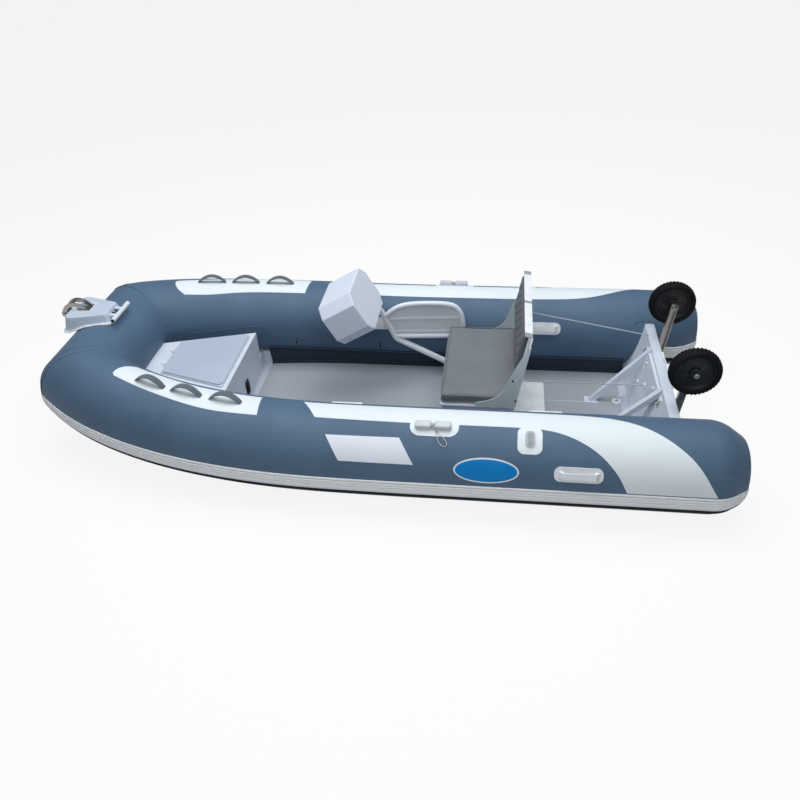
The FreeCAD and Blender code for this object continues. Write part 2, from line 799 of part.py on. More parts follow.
def make_cheek(y):
    """Flat bar on edge that arches out of the slot and down to the roller."""
    foot = Vector(step_slot_aft_x + cheek_width, y, step_top_z - step_slot_depth)
    crown = Vector(step_slot_front_x, y, step_top_z + cheek_rise - cheek_width / 2)
    end = Vector(roller_x, y, roller_z)
    spine = Part.Arc(foot, crown, end).toShape().Curve
    arcs = []
    for reach in (-cheek_width / 2, cheek_width / 2):
        share = 1 + reach / spine.Radius
        arcs.append(Part.Arc(*[spine.Center + (p - spine.Center) * share for p in (foot, crown, end)]).toShape())
    inner, outer = arcs
    ends = [Part.makeLine(inner.firstVertex().Point, outer.firstVertex().Point),
            Part.makeLine(inner.lastVertex().Point, outer.lastVertex().Point)]
    face = Part.Face(Part.Wire(Part.sortEdges([inner, outer] + ends)[0]))
    across = Vector(0, cheek_thickness, 0)
    return face.extrude(across).fuse(rod(end, end + across, cheek_width / 2))


def make_roller_bracket():
    reach = Vector(0, roller_half_gap + cheek_thickness + 4, 0)
    axis = Vector(roller_x, 0, roller_z)
    cheek = make_cheek(roller_half_gap)
    other = make_cheek(-roller_half_gap - cheek_thickness)
    base = box(step_slot_aft_x + 4, step_slot_front_x - 4, -roller_half_gap - cheek_thickness,
               roller_half_gap + cheek_thickness, step_top_z - step_slot_depth, step_top_z - step_slot_depth + 4)
    joint = joined([base, cheek, other, rod(axis - reach, axis + reach, roller_pin_radius)])
    return joint.cut(bow_step)


def make_roller():
    half = Vector(0, roller_half_gap - roller_side_gap, 0)
    axis = Vector(roller_x, 0, roller_z)
    return rod(axis - half, axis + half, roller_radius).cut(rod(axis - half * 2, axis + half * 2,
                                                                roller_pin_radius + running_gap))


def make_cleat():
    """Crossbar on two stubs that stand out of the step's aft face."""
    z = step_top_z - cleat_drop
    parts = [rod(Vector(cleat_x, -cleat_half_length, z), Vector(cleat_x, cleat_half_length, z), cleat_radius)]
    for y in (-cleat_post_y, cleat_post_y):
        parts.append(rod(Vector(cleat_x, y, z), Vector(step_aft_x + 20, y, z), cleat_post_radius))
    return joined(parts).cut(bow_step).cut(tube_bow)


# Tube fittings
def on_tube(shape, x, angle):
    placed = shape.copy()
    placed.Placement = tube_frame(x, angle)
    return placed.cut(tube_port)


def strap_arc(half, top):
    return Part.Arc(Vector(half, 0, -3), Vector(0, 0, top), Vector(-half, 0, -3)).toShape()


def strap_loop():
    """Webbing bowed up between two ends sewn to the patch."""
    half = grab_handle_length / 2
    outer = strap_arc(half, grab_handle_rise)
    inner = strap_arc(half - 3 * grab_strap, grab_handle_rise - grab_strap)
    feet = [Part.makeLine(outer.firstVertex().Point, inner.firstVertex().Point),
            Part.makeLine(outer.lastVertex().Point, inner.lastVertex().Point)]
    face = Part.Face(Part.Wire(Part.sortEdges([outer, inner] + feet)[0]))
    face.translate(Vector(0, -grab_handle_width / 2, 0))
    return face.extrude(Vector(0, grab_handle_width, 0))


def make_grab_handles(shift):
    return Part.makeCompound([on_tube(strap_loop(), x + shift, 90.0) for x in grab_handle_x])


def lift_handle():
    """Oval pad with a moulded grip arched over a finger gap."""
    half, w, top = lift_handle_length / 2, lift_grip_width / 2, lift_handle_rise
    pad = box(-half, half, -lift_pad_width / 2, lift_pad_width / 2, -fitting_root, lift_pad_thickness)
    pad = filleted(pad, lift_pad_width * 0.42, lambda e: e.BoundBox.ZLength > lift_pad_thickness)
    outer, inner = half - lift_grip_end, half - lift_grip_end - lift_grip_root
    under, slope = top - lift_grip_thickness, lift_grip_slope
    port = [(outer, 0), (outer - slope, top)]
    hollow = [(slope / 2 - inner, under), (inner - slope / 2, under), (inner, 0)]
    arch = port + [(-x, z) for x, z in reversed(port)] + [(-inner, 0)] + hollow
    return pad.fuse(prism([Vector(x, -w, z) for x, z in arch], Vector(0, 2 * w, 0)))


def make_lift_handles():
    places = [(lift_outboard_x, lift_outboard_angle)] + [(x, lift_inboard_angle) for x in lift_inboard_x]
    return Part.makeCompound([on_tube(lift_handle(), x, a) for x, a in places])


def make_rowlock():
    """Base with a pin in the middle and a chamfered block each side of it."""
    base = box(-rowlock_half, rowlock_half, -rowlock_base_half, rowlock_base_half, -fitting_root, rowlock_base_height)
    parts = [filleted(base, rowlock_base_half - 4, lambda e: e.BoundBox.ZLength > rowlock_base_height)]
    for side in (-1, 1):
        near, far = sorted([side * rowlock_block_near, side * rowlock_block_far])
        block = box(near, far, -rowlock_block_half, rowlock_block_half, rowlock_base_height - 1, rowlock_block_top)
        upper = [e for e in block.Edges if e.BoundBox.ZMax > rowlock_base_height]
        parts.append(block.makeChamfer(rowlock_chamfer, upper))
    parts.append(Part.makeCylinder(rowlock_post_radius, rowlock_block_top + rowlock_post_radius))
    parts.append(Part.makeCylinder(rowlock_collar_radius, rowlock_block_top - rowlock_post_radius))
    return on_tube(joined(parts), rowlock_x, rowlock_angle)


def make_valve():
    body = box(-valve_half_width, valve_half_width, -valve_half_height, valve_half_height, -fitting_root, valve_rise)
    body = filleted(body, valve_half_width - 4, lambda e: e.BoundBox.ZLength > valve_rise)
    return on_tube(body, valve_x, valve_angle)


hull_shell = make_hull()
console_frame = make_frame()
bow_step = make_step()
leg_port = make_leg()
lifts_port = make_lift_handles()
rowlock_port = make_rowlock()
valve_port = make_valve()
strake_port = make_side_strake()
brace_port = make_brace()
bracket_port = make_wheel_bracket()
rim_port = make_rim()
tyre_port = make_tyre()
seat_bracket_port = make_seat_bracket()
up_length = (back_top_z - back_bottom_z) / cos(radians(back_lean))

nodes = {
    "hull_shell": hull_shell,
    "deck_panel": make_deck(),
    "tube_port": tube_port,
    "tube_starboard": tube_starboard,
    "tube_bow": tube_bow,
    "strake_port": strake_port,
    "strake_starboard": mirrored(strake_port),
    "strake_bow": make_bow_strake(),
    "transom_board": make_transom(),
    "motor_pad_inner": make_motor_pad(0.0, pad_inner_height, pad_inner_drop),
    "motor_pad_outer": make_motor_pad(transom_thickness + pad_thickness, pad_outer_height, pad_outer_drop),
    "transom_brace_port": brace_port,
    "transom_brace_starboard": mirrored(brace_port),
    "locker_box": make_locker(),
    "locker_lid": make_lid(),
    "lid_hinges": make_hinges(),
    "seat_box": make_seat_box(),
    "seat_cushion": make_cushion(),
    "seat_bracket_port": seat_bracket_port,
    "seat_bracket_starboard": mirrored(seat_bracket_port),
    "backrest_panel": back_slab(-back_panel_thickness, 0.0, 0.0, up_length, seat_half_width),
    "backrest_cushion": back_slab(0.0, back_pad_thickness, 4.0, up_length - 4, seat_half_width - 6),
    "console_frame": console_frame,
    "console_side_panel": make_side_panel(),
    "console_pod": make_pod().cut(console_frame),
    "bow_eye": make_bow_eye(),
    "bow_step": bow_step,
    "bow_roller_bracket": make_roller_bracket(),
    "bow_roller": make_roller(),
    "bow_cleat": make_cleat(),
    "grab_handles_port": make_grab_handles(0.0),
    "grab_handles_starboard": mirrored(make_grab_handles(grab_starboard_shift)),
    "lift_handles_port": lifts_port,
    "lift_handles_starboard": mirrored(lifts_port),
    "rowlock_port": rowlock_port,
    "rowlock_starboard": mirrored(rowlock_port),
    "valve_port": valve_port,
    "valve_starboard": mirrored(valve_port),
    "wheel_bracket_port": bracket_port,
    "wheel_bracket_starboard": mirrored(bracket_port),
    "wheel_leg_port": leg_port,
    "wheel_leg_starboard": mirrored(leg_port),
    "wheel_rim_port": rim_port,
    "wheel_rim_starboard": mirrored(rim_port),
    "wheel_tyre_port": tyre_port,
    "wheel_tyre_starboard": mirrored(tyre_port),
}

os.makedirs("parts", exist_ok=True)
for name, shape in nodes.items():
    shape.exportStep("parts/" + name + ".step")
    print(name, len(shape.Solids), shape.isValid(), round(shape.Volume / 1e6, 3))
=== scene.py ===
"""Rigid inflatable boat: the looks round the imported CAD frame.

Metres. +X runs to the bow, +Y to port, +Z up, and the water is at z = 0."""

import math

import bmesh
import bpy
from mathutils import Matrix, Vector, noise


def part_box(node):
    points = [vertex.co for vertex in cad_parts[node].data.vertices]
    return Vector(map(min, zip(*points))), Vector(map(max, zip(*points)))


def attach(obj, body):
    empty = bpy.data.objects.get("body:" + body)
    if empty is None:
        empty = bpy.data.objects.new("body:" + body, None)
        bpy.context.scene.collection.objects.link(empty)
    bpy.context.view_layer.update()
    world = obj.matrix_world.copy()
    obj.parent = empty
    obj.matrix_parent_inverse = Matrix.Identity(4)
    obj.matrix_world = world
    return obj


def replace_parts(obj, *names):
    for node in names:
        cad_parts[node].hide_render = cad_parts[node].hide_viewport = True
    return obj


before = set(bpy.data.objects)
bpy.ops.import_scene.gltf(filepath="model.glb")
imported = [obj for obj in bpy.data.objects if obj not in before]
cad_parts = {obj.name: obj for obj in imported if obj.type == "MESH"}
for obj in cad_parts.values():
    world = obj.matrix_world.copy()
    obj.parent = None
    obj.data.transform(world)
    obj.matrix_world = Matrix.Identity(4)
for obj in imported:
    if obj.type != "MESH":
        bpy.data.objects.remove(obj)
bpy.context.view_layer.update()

# Driving values of the tubes and the deck, as in the CAD frame
TUBE_RADIUS = 0.225
STERN_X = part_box("tube_port")[0].x
SIDE_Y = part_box("tube_port")[1].y - TUBE_RADIUS
BEND_X = 0.197
CORNER_X = 1.5817
CORNER_Y = 0.355
BEND_PULL = 0.703
SHEER_START_X = -0.376
SHEER_RISE = 0.122
SHEER_POWER = 2.77
CONE_LENGTH = 0.112
CONE_TIP_SHARE = 0.63
CONE_X = STERN_X + CONE_LENGTH
STRAIGHT_X = STERN_X + 0.4
DECK_TOP = 0.0100
AHEAD = Vector((1, 0, 0))
ACROSS = Vector((0, 1, 0))
UP = Vector((0, 0, 1))
PORT, STARBOARD = 1, -1
SIDES = {"port": PORT, "starboard": STARBOARD}


def make_camera():
    """Camera where the photo was taken from."""
    eye = Vector((-0.6284, 3.5857, 2.667))
    ahead = Vector((0.1222, -0.8035, -0.5827)).normalized()
    right = Vector((-0.9916, -0.1236, -0.0375))
    right = (right - ahead * right.dot(ahead)).normalized()
    above = right.cross(ahead)
    data = bpy.data.cameras.new("camera")
    data.lens = 34.66
    data.sensor_width = 36.0
    camera = bpy.data.objects.new("camera", data)
    turn = Matrix((right, above, -ahead)).transposed()
    camera.matrix_world = Matrix.Translation(eye) @ turn.to_4x4()
    bpy.context.scene.collection.objects.link(camera)
    bpy.context.scene.camera = camera
    bpy.context.scene.view_settings.view_transform = "Standard"


# Node helpers
class Shader:
    """A material's node tree with short calls for what repeats."""

    def __init__(self, name):
        self.material = bpy.data.materials.new(name)
        self.material.use_nodes = True
        self.nodes = self.material.node_tree.nodes
        self.links = self.material.node_tree.links
        self.surface = self.nodes["Principled BSDF"]
        self.coords = self.nodes.new("ShaderNodeTexCoord").outputs["Object"]

    def put(self, kind, inputs=None, **settings):
        node = self.nodes.new("ShaderNode" + kind)
        for key, value in settings.items():
            setattr(node, key, value)
        for key, value in (inputs or {}).items():
            if isinstance(value, bpy.types.NodeSocket):
                self.links.new(value, node.inputs[key])
            else:
                node.inputs[key].default_value = value
        return node

    def noise(self, scale, detail=2.0, rough=0.5, vector=None):
        inputs = {"Scale": scale, "Detail": detail, "Roughness": rough, "Vector": vector or self.coords}
        return self.put("TexNoise", inputs).outputs["Fac"]

    def math(self, operation, first, second=0.0, third=0.0):
        return self.put("Math", {0: first, 1: second, 2: third}, operation=operation).outputs[0]

    def stretch(self, value, low, high, to_low=0.0, to_high=1.0):
        inputs = {"Value": value, "From Min": low, "From Max": high, "To Min": to_low, "To Max": to_high}
        return self.put("MapRange", inputs).outputs["Result"]

    def mix(self, share, first, second):
        node = self.put("Mix", data_type="RGBA")
        sockets = {0: share, 6: first, 7: second}
        for index, value in sockets.items():
            if isinstance(value, bpy.types.NodeSocket):
                self.links.new(value, node.inputs[index])
            elif index:
                node.inputs[index].default_value = (*value, 1.0)
            else:
                node.inputs[index].default_value = value
        return node.outputs[2]

    def set(self, **values):
        for key, value in values.items():
            socket = self.surface.inputs[key.replace("_", " ")]
            if isinstance(value, bpy.types.NodeSocket):
                self.links.new(value, socket)
            elif isinstance(value, tuple) and len(value) == 3:
                socket.default_value = (*value, 1.0)
            else:
                socket.default_value = value

    def bump(self, height, distance, strength=1.0, onto=None):
        inputs = {"Height": height, "Distance": distance, "Strength": strength}
        if onto is not None:
            inputs["Normal"] = onto
        normal = self.put("Bump", inputs).outputs["Normal"]
        self.links.new(normal, self.surface.inputs["Normal"])
        return normal

    def waves(self, axis, scale, distortion=0.0):
        inputs = {"Scale": scale, "Distortion": distortion, "Vector": self.coords}
        return self.put("TexWave", inputs, bands_direction=axis).outputs["Fac"]


def coated_fabric(name, colour, darker, roughness):
    """Welded tube fabric: a fine cross weave under a satin coat, slightly uneven."""
    s = Shader(name)
    cloud = s.noise(3.5, 3.0, 0.55)
    s.set(Base_Color=s.mix(s.stretch(cloud, 0.35, 0.7), colour, darker))
    s.set(Roughness=s.stretch(s.noise(9.0, 4.0, 0.6), 0.3, 0.7, roughness - 0.04, roughness + 0.06))
    s.set(Specular_IOR_Level=0.22)
    slow = s.bump(s.noise(6.0, 2.0), 0.004, 0.35)
    warp = s.math("MULTIPLY", s.waves("X", 260.0), s.waves("Z", 260.0))
    weft = s.math("ADD", warp, s.waves("Y", 260.0))
    s.bump(weft, 0.00025, 0.35, slow)
    return s.material


def painted_metal(name, colour, darker, roughness=0.4, metallic=0.0):
    """Powder coat over sheet metal: fine orange peel and faint handling marks."""
    s = Shader(name)
    cloud = s.noise(5.0, 4.0, 0.6)
    s.set(Base_Color=s.mix(s.stretch(cloud, 0.4, 0.75), colour, darker), Metallic=metallic)
    s.set(Roughness=s.stretch(s.noise(22.0, 5.0, 0.6), 0.3, 0.7, roughness - 0.07, roughness + 0.09))
    slow = s.bump(s.noise(8.0, 1.0), 0.003, 0.15)
    s.bump(s.noise(420.0, 2.0), 0.0003, 0.25, slow)
    return s.material


def gelcoat(name, colour, darker):
    """Smooth glossy moulding with a barely uneven skin."""
    s = Shader(name)
    s.set(Base_Color=s.mix(s.stretch(s.noise(3.0, 3.0), 0.35, 0.7), colour, darker))
    s.set(Roughness=s.stretch(s.noise(30.0, 3.0), 0.3, 0.7, 0.36, 0.42))
    s.bump(s.noise(600.0, 2.0), 0.0001, 0.1)
    return s.material


def nonskid(name, colour, darker):
    """Deck paint with grit: raised grains over a matt ground, worn paler in places."""
    s = Shader(name)
    grains = s.put("TexVoronoi", {"Scale": 330.0, "Vector": s.coords}).outputs["Distance"]
    dots = s.stretch(grains, 0.1, 0.45, 1.0, 0.0)
    speckle = s.mix(s.math("MULTIPLY", dots, 0.5), colour, darker)
    wear = s.stretch(s.noise(2.6, 4.0, 0.6), 0.45, 0.72, 0.0, 0.35)
    paler = tuple(min(1.0, c * 1.18) for c in colour)
    s.set(Base_Color=s.mix(wear, speckle, paler), Roughness=0.62)
    s.bump(dots, 0.0006, 0.6)
    return s.material


def moulded(name, colour, roughness=0.42):
    """Injection-moulded plastic with a fine leather-like grain."""
    s = Shader(name)
    darker = tuple(c * 0.88 for c in colour)
    s.set(Base_Color=s.mix(s.stretch(s.noise(14.0, 3.0), 0.35, 0.7), colour, darker))
    s.set(Roughness=s.stretch(s.noise(40.0, 3.0), 0.3, 0.7, roughness - 0.06, roughness + 0.08))
    s.bump(s.noise(180.0, 3.0), 0.0004, 0.4)
    return s.material


def rubber(name, colour, roughness=0.55, specular=0.5):
    """Matt rubber, dusty in places."""
    s = Shader(name)
    dusty = tuple(min(1.0, c * 1.06 + 0.006) for c in colour)
    s.set(Base_Color=s.mix(s.stretch(s.noise(7.0, 5.0, 0.65), 0.42, 0.75), colour, dusty))
    s.set(Roughness=s.stretch(s.noise(30.0, 4.0), 0.3, 0.7, roughness - 0.08, roughness + 0.1),
          Specular_IOR_Level=specular)
    s.bump(s.noise(180.0, 2.0), 0.0001, 0.1)
    return s.material


def brushed_steel(name, colour):
    """Stainless steel with fine streaks fore and aft."""
    s = Shader(name)
    lines = s.put("Mapping", {"Vector": s.coords, "Scale": (1.0, 40.0, 40.0)}).outputs[0]
    streaks = s.noise(14.0, 4.0, 0.6, lines)
    s.set(Base_Color=s.mix(s.stretch(streaks, 0.3, 0.7), colour, tuple(c * 0.75 for c in colour)))
    s.set(Metallic=1.0, Roughness=s.stretch(streaks, 0.3, 0.7, 0.24, 0.4))
    s.bump(streaks, 0.0002, 0.3)
    return s.material


def webbing(name, colour):
    """Woven strap: diagonal ribs across a coarse weave."""
    s = Shader(name)
    weave = s.math("MULTIPLY", s.waves("DIAGONAL", 170.0), s.waves("X", 240.0))
    s.set(Base_Color=s.mix(weave, colour, tuple(c * 0.6 for c in colour)), Roughness=0.7)
    s.set(Sheen_Weight=0.3)
    s.bump(weave, 0.0006, 0.6)
    return s.material


def vinyl(name, colour, darker):
    """Cushion cover: mesh-backed vinyl with a fine wavy horizontal grain."""
    s = Shader(name)
    grain = s.put("TexWave", {"Scale": 60.0, "Distortion": 9.0, "Detail": 3.0, "Detail Scale": 2.5,
                              "Vector": s.coords}, bands_direction="X").outputs["Fac"]
    cloud = s.stretch(s.noise(6.0, 4.0, 0.6), 0.3, 0.8, 0.0, 0.6)
    tone = s.math("ADD", s.math("MULTIPLY", grain, 0.6), cloud)
    s.set(Base_Color=s.mix(tone, darker, colour), Roughness=0.58, Sheen_Weight=0.15)
    s.bump(grain, 0.0010, 0.6)
    return s.material


def make_materials():
    """Every material by the short name that the pieces use."""
    return {
        "tube": coated_fabric("tube_fabric", (0.095, 0.160, 0.245), (0.082, 0.139, 0.215), 0.42),
        "patch": coated_fabric("patch_fabric", (0.80, 0.87, 0.905), (0.775, 0.845, 0.885), 0.45),
        "plate": coated_fabric("plate_fabric", (0.82, 0.87, 0.95), (0.79, 0.84, 0.93), 0.42),
        # Near-black fabric: painted shade on the flaps under the tubes; the same colour gives the dark seam
        # edges and ring keepers
        "flap": coated_fabric("flap_fabric", (0.030, 0.048, 0.070), (0.022, 0.037, 0.056), 0.6),
        "badge": coated_fabric("badge_fabric", (0.001, 0.235, 0.62), (0.001, 0.210, 0.57), 0.45),
        "strake": rubber("strake_rubber", (0.92, 0.94, 0.96), 0.5),
        # Painted shade in the strake's grooves
        "groove_painted_shade": rubber("strake_groove_shade", (0.30, 0.33, 0.37), 0.6),
        # Painted shade of the tube's underside below the strake
        "strake_painted_shade": rubber("strake_shade_band", (0.010, 0.012, 0.016), 0.8, 0.15),
        "hull": painted_metal("hull_paint", (0.66, 0.73, 0.81), (0.62, 0.69, 0.78), 0.42),
        "inner": painted_metal("inner_paint", (0.50, 0.55, 0.61), (0.44, 0.49, 0.55), 0.42),
        "deck": nonskid("deck_paint", (0.34, 0.37, 0.41), (0.24, 0.26, 0.29)),
        "lid": nonskid("lid_paint", (0.44, 0.50, 0.61), (0.38, 0.44, 0.55)),
        "pod": gelcoat("pod_gelcoat", (0.76, 0.83, 0.94), (0.745, 0.815, 0.93)),
        "panel": painted_metal("panel_paint", (0.66, 0.70, 0.73), (0.62, 0.66, 0.69), 0.5),
        "pipe": painted_metal("pipe_paint", (0.76, 0.81, 0.86), (0.72, 0.77, 0.82), 0.35),
        "bracket": painted_metal("bracket_paint", (0.58, 0.64, 0.68), (0.54, 0.60, 0.64), 0.45),
        "fitting": moulded("fitting_plastic", (0.50, 0.53, 0.57)),
        "fitting_pale": moulded("fitting_pale_plastic", (0.64, 0.67, 0.71)),
        "fitting_dark": moulded("grip_plastic", (0.33, 0.36, 0.40)),
        "white": moulded("white_plastic", (0.86, 0.89, 0.92)),
        "black": moulded("black_plastic", (0.012, 0.013, 0.015), 0.5),
        "rim": moulded("rim_plastic", (0.014, 0.015, 0.017), 0.45),
        "step": gelcoat("step_gelcoat", (0.54, 0.63, 0.74), (0.52, 0.61, 0.72)),
        "tyre": rubber("tyre_rubber", (0.006, 0.007, 0.008), 0.8, 0.2),
        "cushion": vinyl("cushion_vinyl", (0.205, 0.222, 0.245), (0.125, 0.138, 0.155)),
        "quilt": vinyl("quilted_vinyl", (0.108, 0.116, 0.130), (0.070, 0.076, 0.087)),
        "black_steel": painted_metal("bolt_steel", (0.05, 0.05, 0.055), (0.03, 0.03, 0.033), 0.35, 0.8),
        "webbing": webbing("webbing", (0.105, 0.135, 0.170)),
        "steel": brushed_steel("steel", (0.56, 0.54, 0.50)),
        "clear": moulded("strap_plastic", (0.72, 0.78, 0.84), 0.3),
    }


# Mesh helpers
def add_mesh(name, verts, faces, material, body="hull", slot=None, smooth=True):
    """Piece from its points and faces, riding on a body, with its finish named."""
    mesh = bpy.data.meshes.new(name)
    mesh.from_pydata([tuple(v) for v in verts], [], faces)
    mesh.validate()
    piece = bpy.data.objects.new(name, mesh)
    bpy.context.scene.collection.objects.link(piece)
    mesh.materials.append(MATERIALS[material])
    if smooth:
        mesh.shade_smooth()
    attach(piece, body)
    return piece


def apply_modifiers(piece):
    """Keep what the piece's modifiers make as its own mesh."""
    graph = bpy.context.evaluated_depsgraph_get()
    made = bpy.data.meshes.new_from_object(piece.evaluated_get(graph))
    piece.modifiers.clear()
    piece.data = made
    return piece


def bevelled(piece, width):
    """Round the sharp edges of a finished piece."""
    modifier = piece.modifiers.new("bevel", "BEVEL")
    modifier.width = width
    modifier.segments = 2
    modifier.limit_method = "ANGLE"
    modifier.angle_limit = math.radians(35.0)
    modifier.harden_normals = True
    return apply_modifiers(piece)


def subdivide(piece):
    modifier = piece.modifiers.new("finer", "SUBSURF")
    modifier.levels = modifier.render_levels = 1
    apply_modifiers(piece)


def sharpen(piece, degrees):
    """Keep edges over an angle crisp in smooth shading."""
    bm = bmesh.new()
    bm.from_mesh(piece.data)
    for edge in bm.edges:
        edge.smooth = len(edge.link_faces) < 2 or edge.calc_face_angle(0.0) < math.radians(degrees)
    bm.to_mesh(piece.data)
    bm.free()
    return piece


def ring_faces(rows, columns, looped=False):
    """Quads between rings that each have the same number of points, back to the first ring if looped."""
    faces = []
    for i in range(rows if looped else rows - 1):
        here, beyond = i * columns, (i + 1) % rows * columns
        for j in range(columns):
            after = (j + 1) % columns
            faces.append((here + j, here + after, beyond + after, beyond + j))
    return faces


def swept(name, rings, material, caps=True, looped=False, **kind):
    """Skin over a list of closed rings of points."""
    count = len(rings[0])
    verts = [point for ring in rings for point in ring]
    faces = ring_faces(len(rings), count, looped)
    if caps and not looped:
        faces.append(tuple(reversed(range(count))))
        faces.append(tuple(range(len(verts) - count, len(verts))))
    return add_mesh(name, verts, faces, material, **kind)


def spline(points, per_span=8):
    """Catmull-Rom curve through points, whatever their dimension."""
    if len(points) < 3:
        return [Vector(p) for p in points]
    pts = [Vector(p) for p in points]
    pts = [pts[0] * 2 - pts[1]] + pts + [pts[-1] * 2 - pts[-2]]
    made = []
    for a, b, c, d in zip(pts, pts[1:], pts[2:], pts[3:]):
        for k in range(per_span):
            t = k / per_span
            made.append(0.5 * (2 * b + (c - a) * t + (2 * a - 5 * b + 4 * c - d) * t * t
                               + (3 * b - a - 3 * c + d) * t ** 3))
    return made + [pts[-2]]


def rounded(points, radii, steps=6):
    """Open 2-D polyline with its inner corners rounded."""
    pts = [Vector(p) for p in points]
    made = [pts[0]]
    for before, corner, after, radius in zip(pts, pts[1:], pts[2:], radii):
        back, ahead = (before - corner).normalized(), (after - corner).normalized()
        half = back.angle(ahead) / 2
        if radius <= 0 or half > math.radians(89.5):
            made.append(corner)
            continue
        reach = radius / math.tan(half)
        centre = corner + (back + ahead).normalized() * (radius / math.sin(half))
        first, last = corner + back * reach - centre, corner + ahead * reach - centre
        for k in range(steps + 1):
            arm = first.lerp(last, k / steps)
            made.append(centre + arm.normalized() * radius)
    return made + [pts[-1]]


def rounded_loop(points, radius, steps=6):
    """Closed 2-D outline with every corner rounded."""
    pts = [Vector(p) for p in points]
    middle = (pts[0] + pts[-1]) / 2
    return rounded([middle] + pts + [middle], [radius] * len(pts), steps)[:-1]


def angles(count):
    """Equal turns round a circle."""
    return [2 * math.pi * k / count for k in range(count)]


def circle(radius, count):
    return [(radius * math.cos(a), radius * math.sin(a)) for a in angles(count)]


def rectangle(x0, x1, y0, y1):
    return [(x0, y0), (x1, y0), (x1, y1), (x0, y1)]


def rounded_box(length, width, radius, steps=5):
    half_l, half_w = length / 2, width / 2
    return rounded_loop(rectangle(-half_l, half_l, -half_w, half_w), radius, steps)


def mirrored(points, side):
    """The points as they are for port, or on the other side for starboard."""
    return [Vector((p.x, p.y * side, p.z)) for p in points]


def plate(name, outline, depth, axes, material, **kind):
    """Sheet from a flat outline on (origin, along, across) axes, thick along their normal."""
    origin, along, across = axes
    normal = along.cross(across).normalized()
    low = [origin + along * p[0] + across * p[1] for p in outline]
    return sharpen(swept(name, [low, [q + normal * depth for q in low]], material, **kind), 40)


def pipe(name, points, radius, material, sides=10, flat=None, closed=False, **kind):
    """Round or flattened section along a line; flat is (half width, half thickness, across)."""
    pts = [Vector(p) for p in points]
    rings = []
    side = UP if abs((pts[1] - pts[0]).normalized().z) < 0.9 else AHEAD
    for k, point in enumerate(pts):
        before = pts[k - 1] if closed or k else pts[0]
        after = pts[(k + 1) % len(pts)] if closed or k < len(pts) - 1 else pts[-1]
        ahead = (after - before).normalized()
        side = (side - ahead * side.dot(ahead)).normalized()
        other = ahead.cross(side)
        if flat:
            across = (flat[2] - ahead * flat[2].dot(ahead)).normalized()
            other, side, sizes = across, across.cross(ahead), flat[:2]
        else:
            sizes = (radius, radius)
        rings.append([point + other * (math.cos(a) * sizes[0]) + side * (math.sin(a) * sizes[1])
                      for a in angles(sides)])
    return swept(name, rings, material, looped=closed, **kind)


def turned(name, profile, centre, axis, material, steps=64, **kind):
    """Closed (radius, along) profile revolved round an axis."""
    axis = axis.normalized()
    first = axis.orthogonal().normalized()
    second = axis.cross(first)
    arms = [first * math.cos(a) + second * math.sin(a) for a in angles(steps)]
    rings = [[centre + arm * r + axis * along for r, along in profile] for arm in arms]
    return sharpen(swept(name, rings, material, looped=True, **kind), 35)


def bolt(name, place, normal, radius, material="steel", body="hull"):
    """Hexagon head on a washer."""
    normal = normal.normalized()
    along = normal.orthogonal().normalized()
    axes = (Vector(place), along, normal.cross(along))
    parts = (("_washer", radius * 1.35, radius * 0.25, 20), ("_head", radius, radius * 0.9, 6))
    for part, reach, depth, corners in parts:
        plate(name + part, circle(reach, corners), depth, axes, material, body=body, slot="stainless")


def rounded_block(half, radius, counts):
    """Surface grid of a box whose edges are rounded, as vertices and quads."""
    index, verts, faces = {}, [], []

    def at(i, j, k):
        key = (i, j, k)
        if key not in index:
            point = []
            for value, count, size in zip(key, counts, half):
                point.append((2 * value / count - 1) * size)
            core = [max(-(h - radius), min(h - radius, c)) for c, h in zip(point, half)]
            arm = Vector(point) - Vector(core)
            index[key] = len(verts)
            verts.append(Vector(core) + (arm.normalized() * radius if arm.length else arm))
        return index[key]

    a, b, c = counts
    for i in range(a):
        for j in range(b):
            faces.append((at(i, j, c), at(i + 1, j, c), at(i + 1, j + 1, c), at(i, j + 1, c)))
            faces.append((at(i, j, 0), at(i, j + 1, 0), at(i + 1, j + 1, 0), at(i + 1, j, 0)))
    for i in range(a):
        for k in range(c):
            faces.append((at(i, 0, k), at(i + 1, 0, k), at(i + 1, 0, k + 1), at(i, 0, k + 1)))
            faces.append((at(i, b, k), at(i, b, k + 1), at(i + 1, b, k + 1), at(i + 1, b, k)))
    for j in range(b):
        for k in range(c):
            faces.append((at(0, j, k), at(0, j, k + 1), at(0, j + 1, k + 1), at(0, j + 1, k)))
            faces.append((at(a, j, k), at(a, j + 1, k), at(a, j + 1, k + 1), at(a, j, k + 1)))
    return verts, faces


CLOTH_FRAMES = 20


def inflate(piece, voxel, reach):
    """Swell a pad by a short cloth simulation, no point moving further than reach."""
    remesh = piece.modifiers.new("remesh", "REMESH")
    remesh.mode = "VOXEL"
    remesh.voxel_size = voxel
    remesh.use_smooth_shade = True
    apply_modifiers(piece)
    rest = [v.co.copy() for v in piece.data.vertices]
    cloth = piece.modifiers.new("cloth", "CLOTH")
    cloth.settings.use_pressure = True
    cloth.settings.uniform_pressure_force = 4.0
    cloth.settings.quality = 4
    cloth.settings.effector_weights.gravity = 0.0
    cloth.point_cache.frame_start = 1
    cloth.point_cache.frame_end = CLOTH_FRAMES
    for step in range(1, CLOTH_FRAMES + 1):
        bpy.context.scene.frame_set(step)
    apply_modifiers(piece)
    for vertex, start in zip(piece.data.vertices, rest):
        move = vertex.co - start
        if move.length > reach:
            vertex.co = start + move * (reach / move.length)
    bpy.context.scene.frame_set(1)
    piece.data.shade_smooth()


# Tube geometry
def rise(x):
    """How far the sheer lifts the tube's middle at x."""
    share = (x - SHEER_START_X) / (CORNER_X - SHEER_START_X)
    return SHEER_RISE * min(1.0, max(0.0, share)) ** SHEER_POWER


PULL_X = BEND_X + BEND_PULL * (CORNER_X - BEND_X)


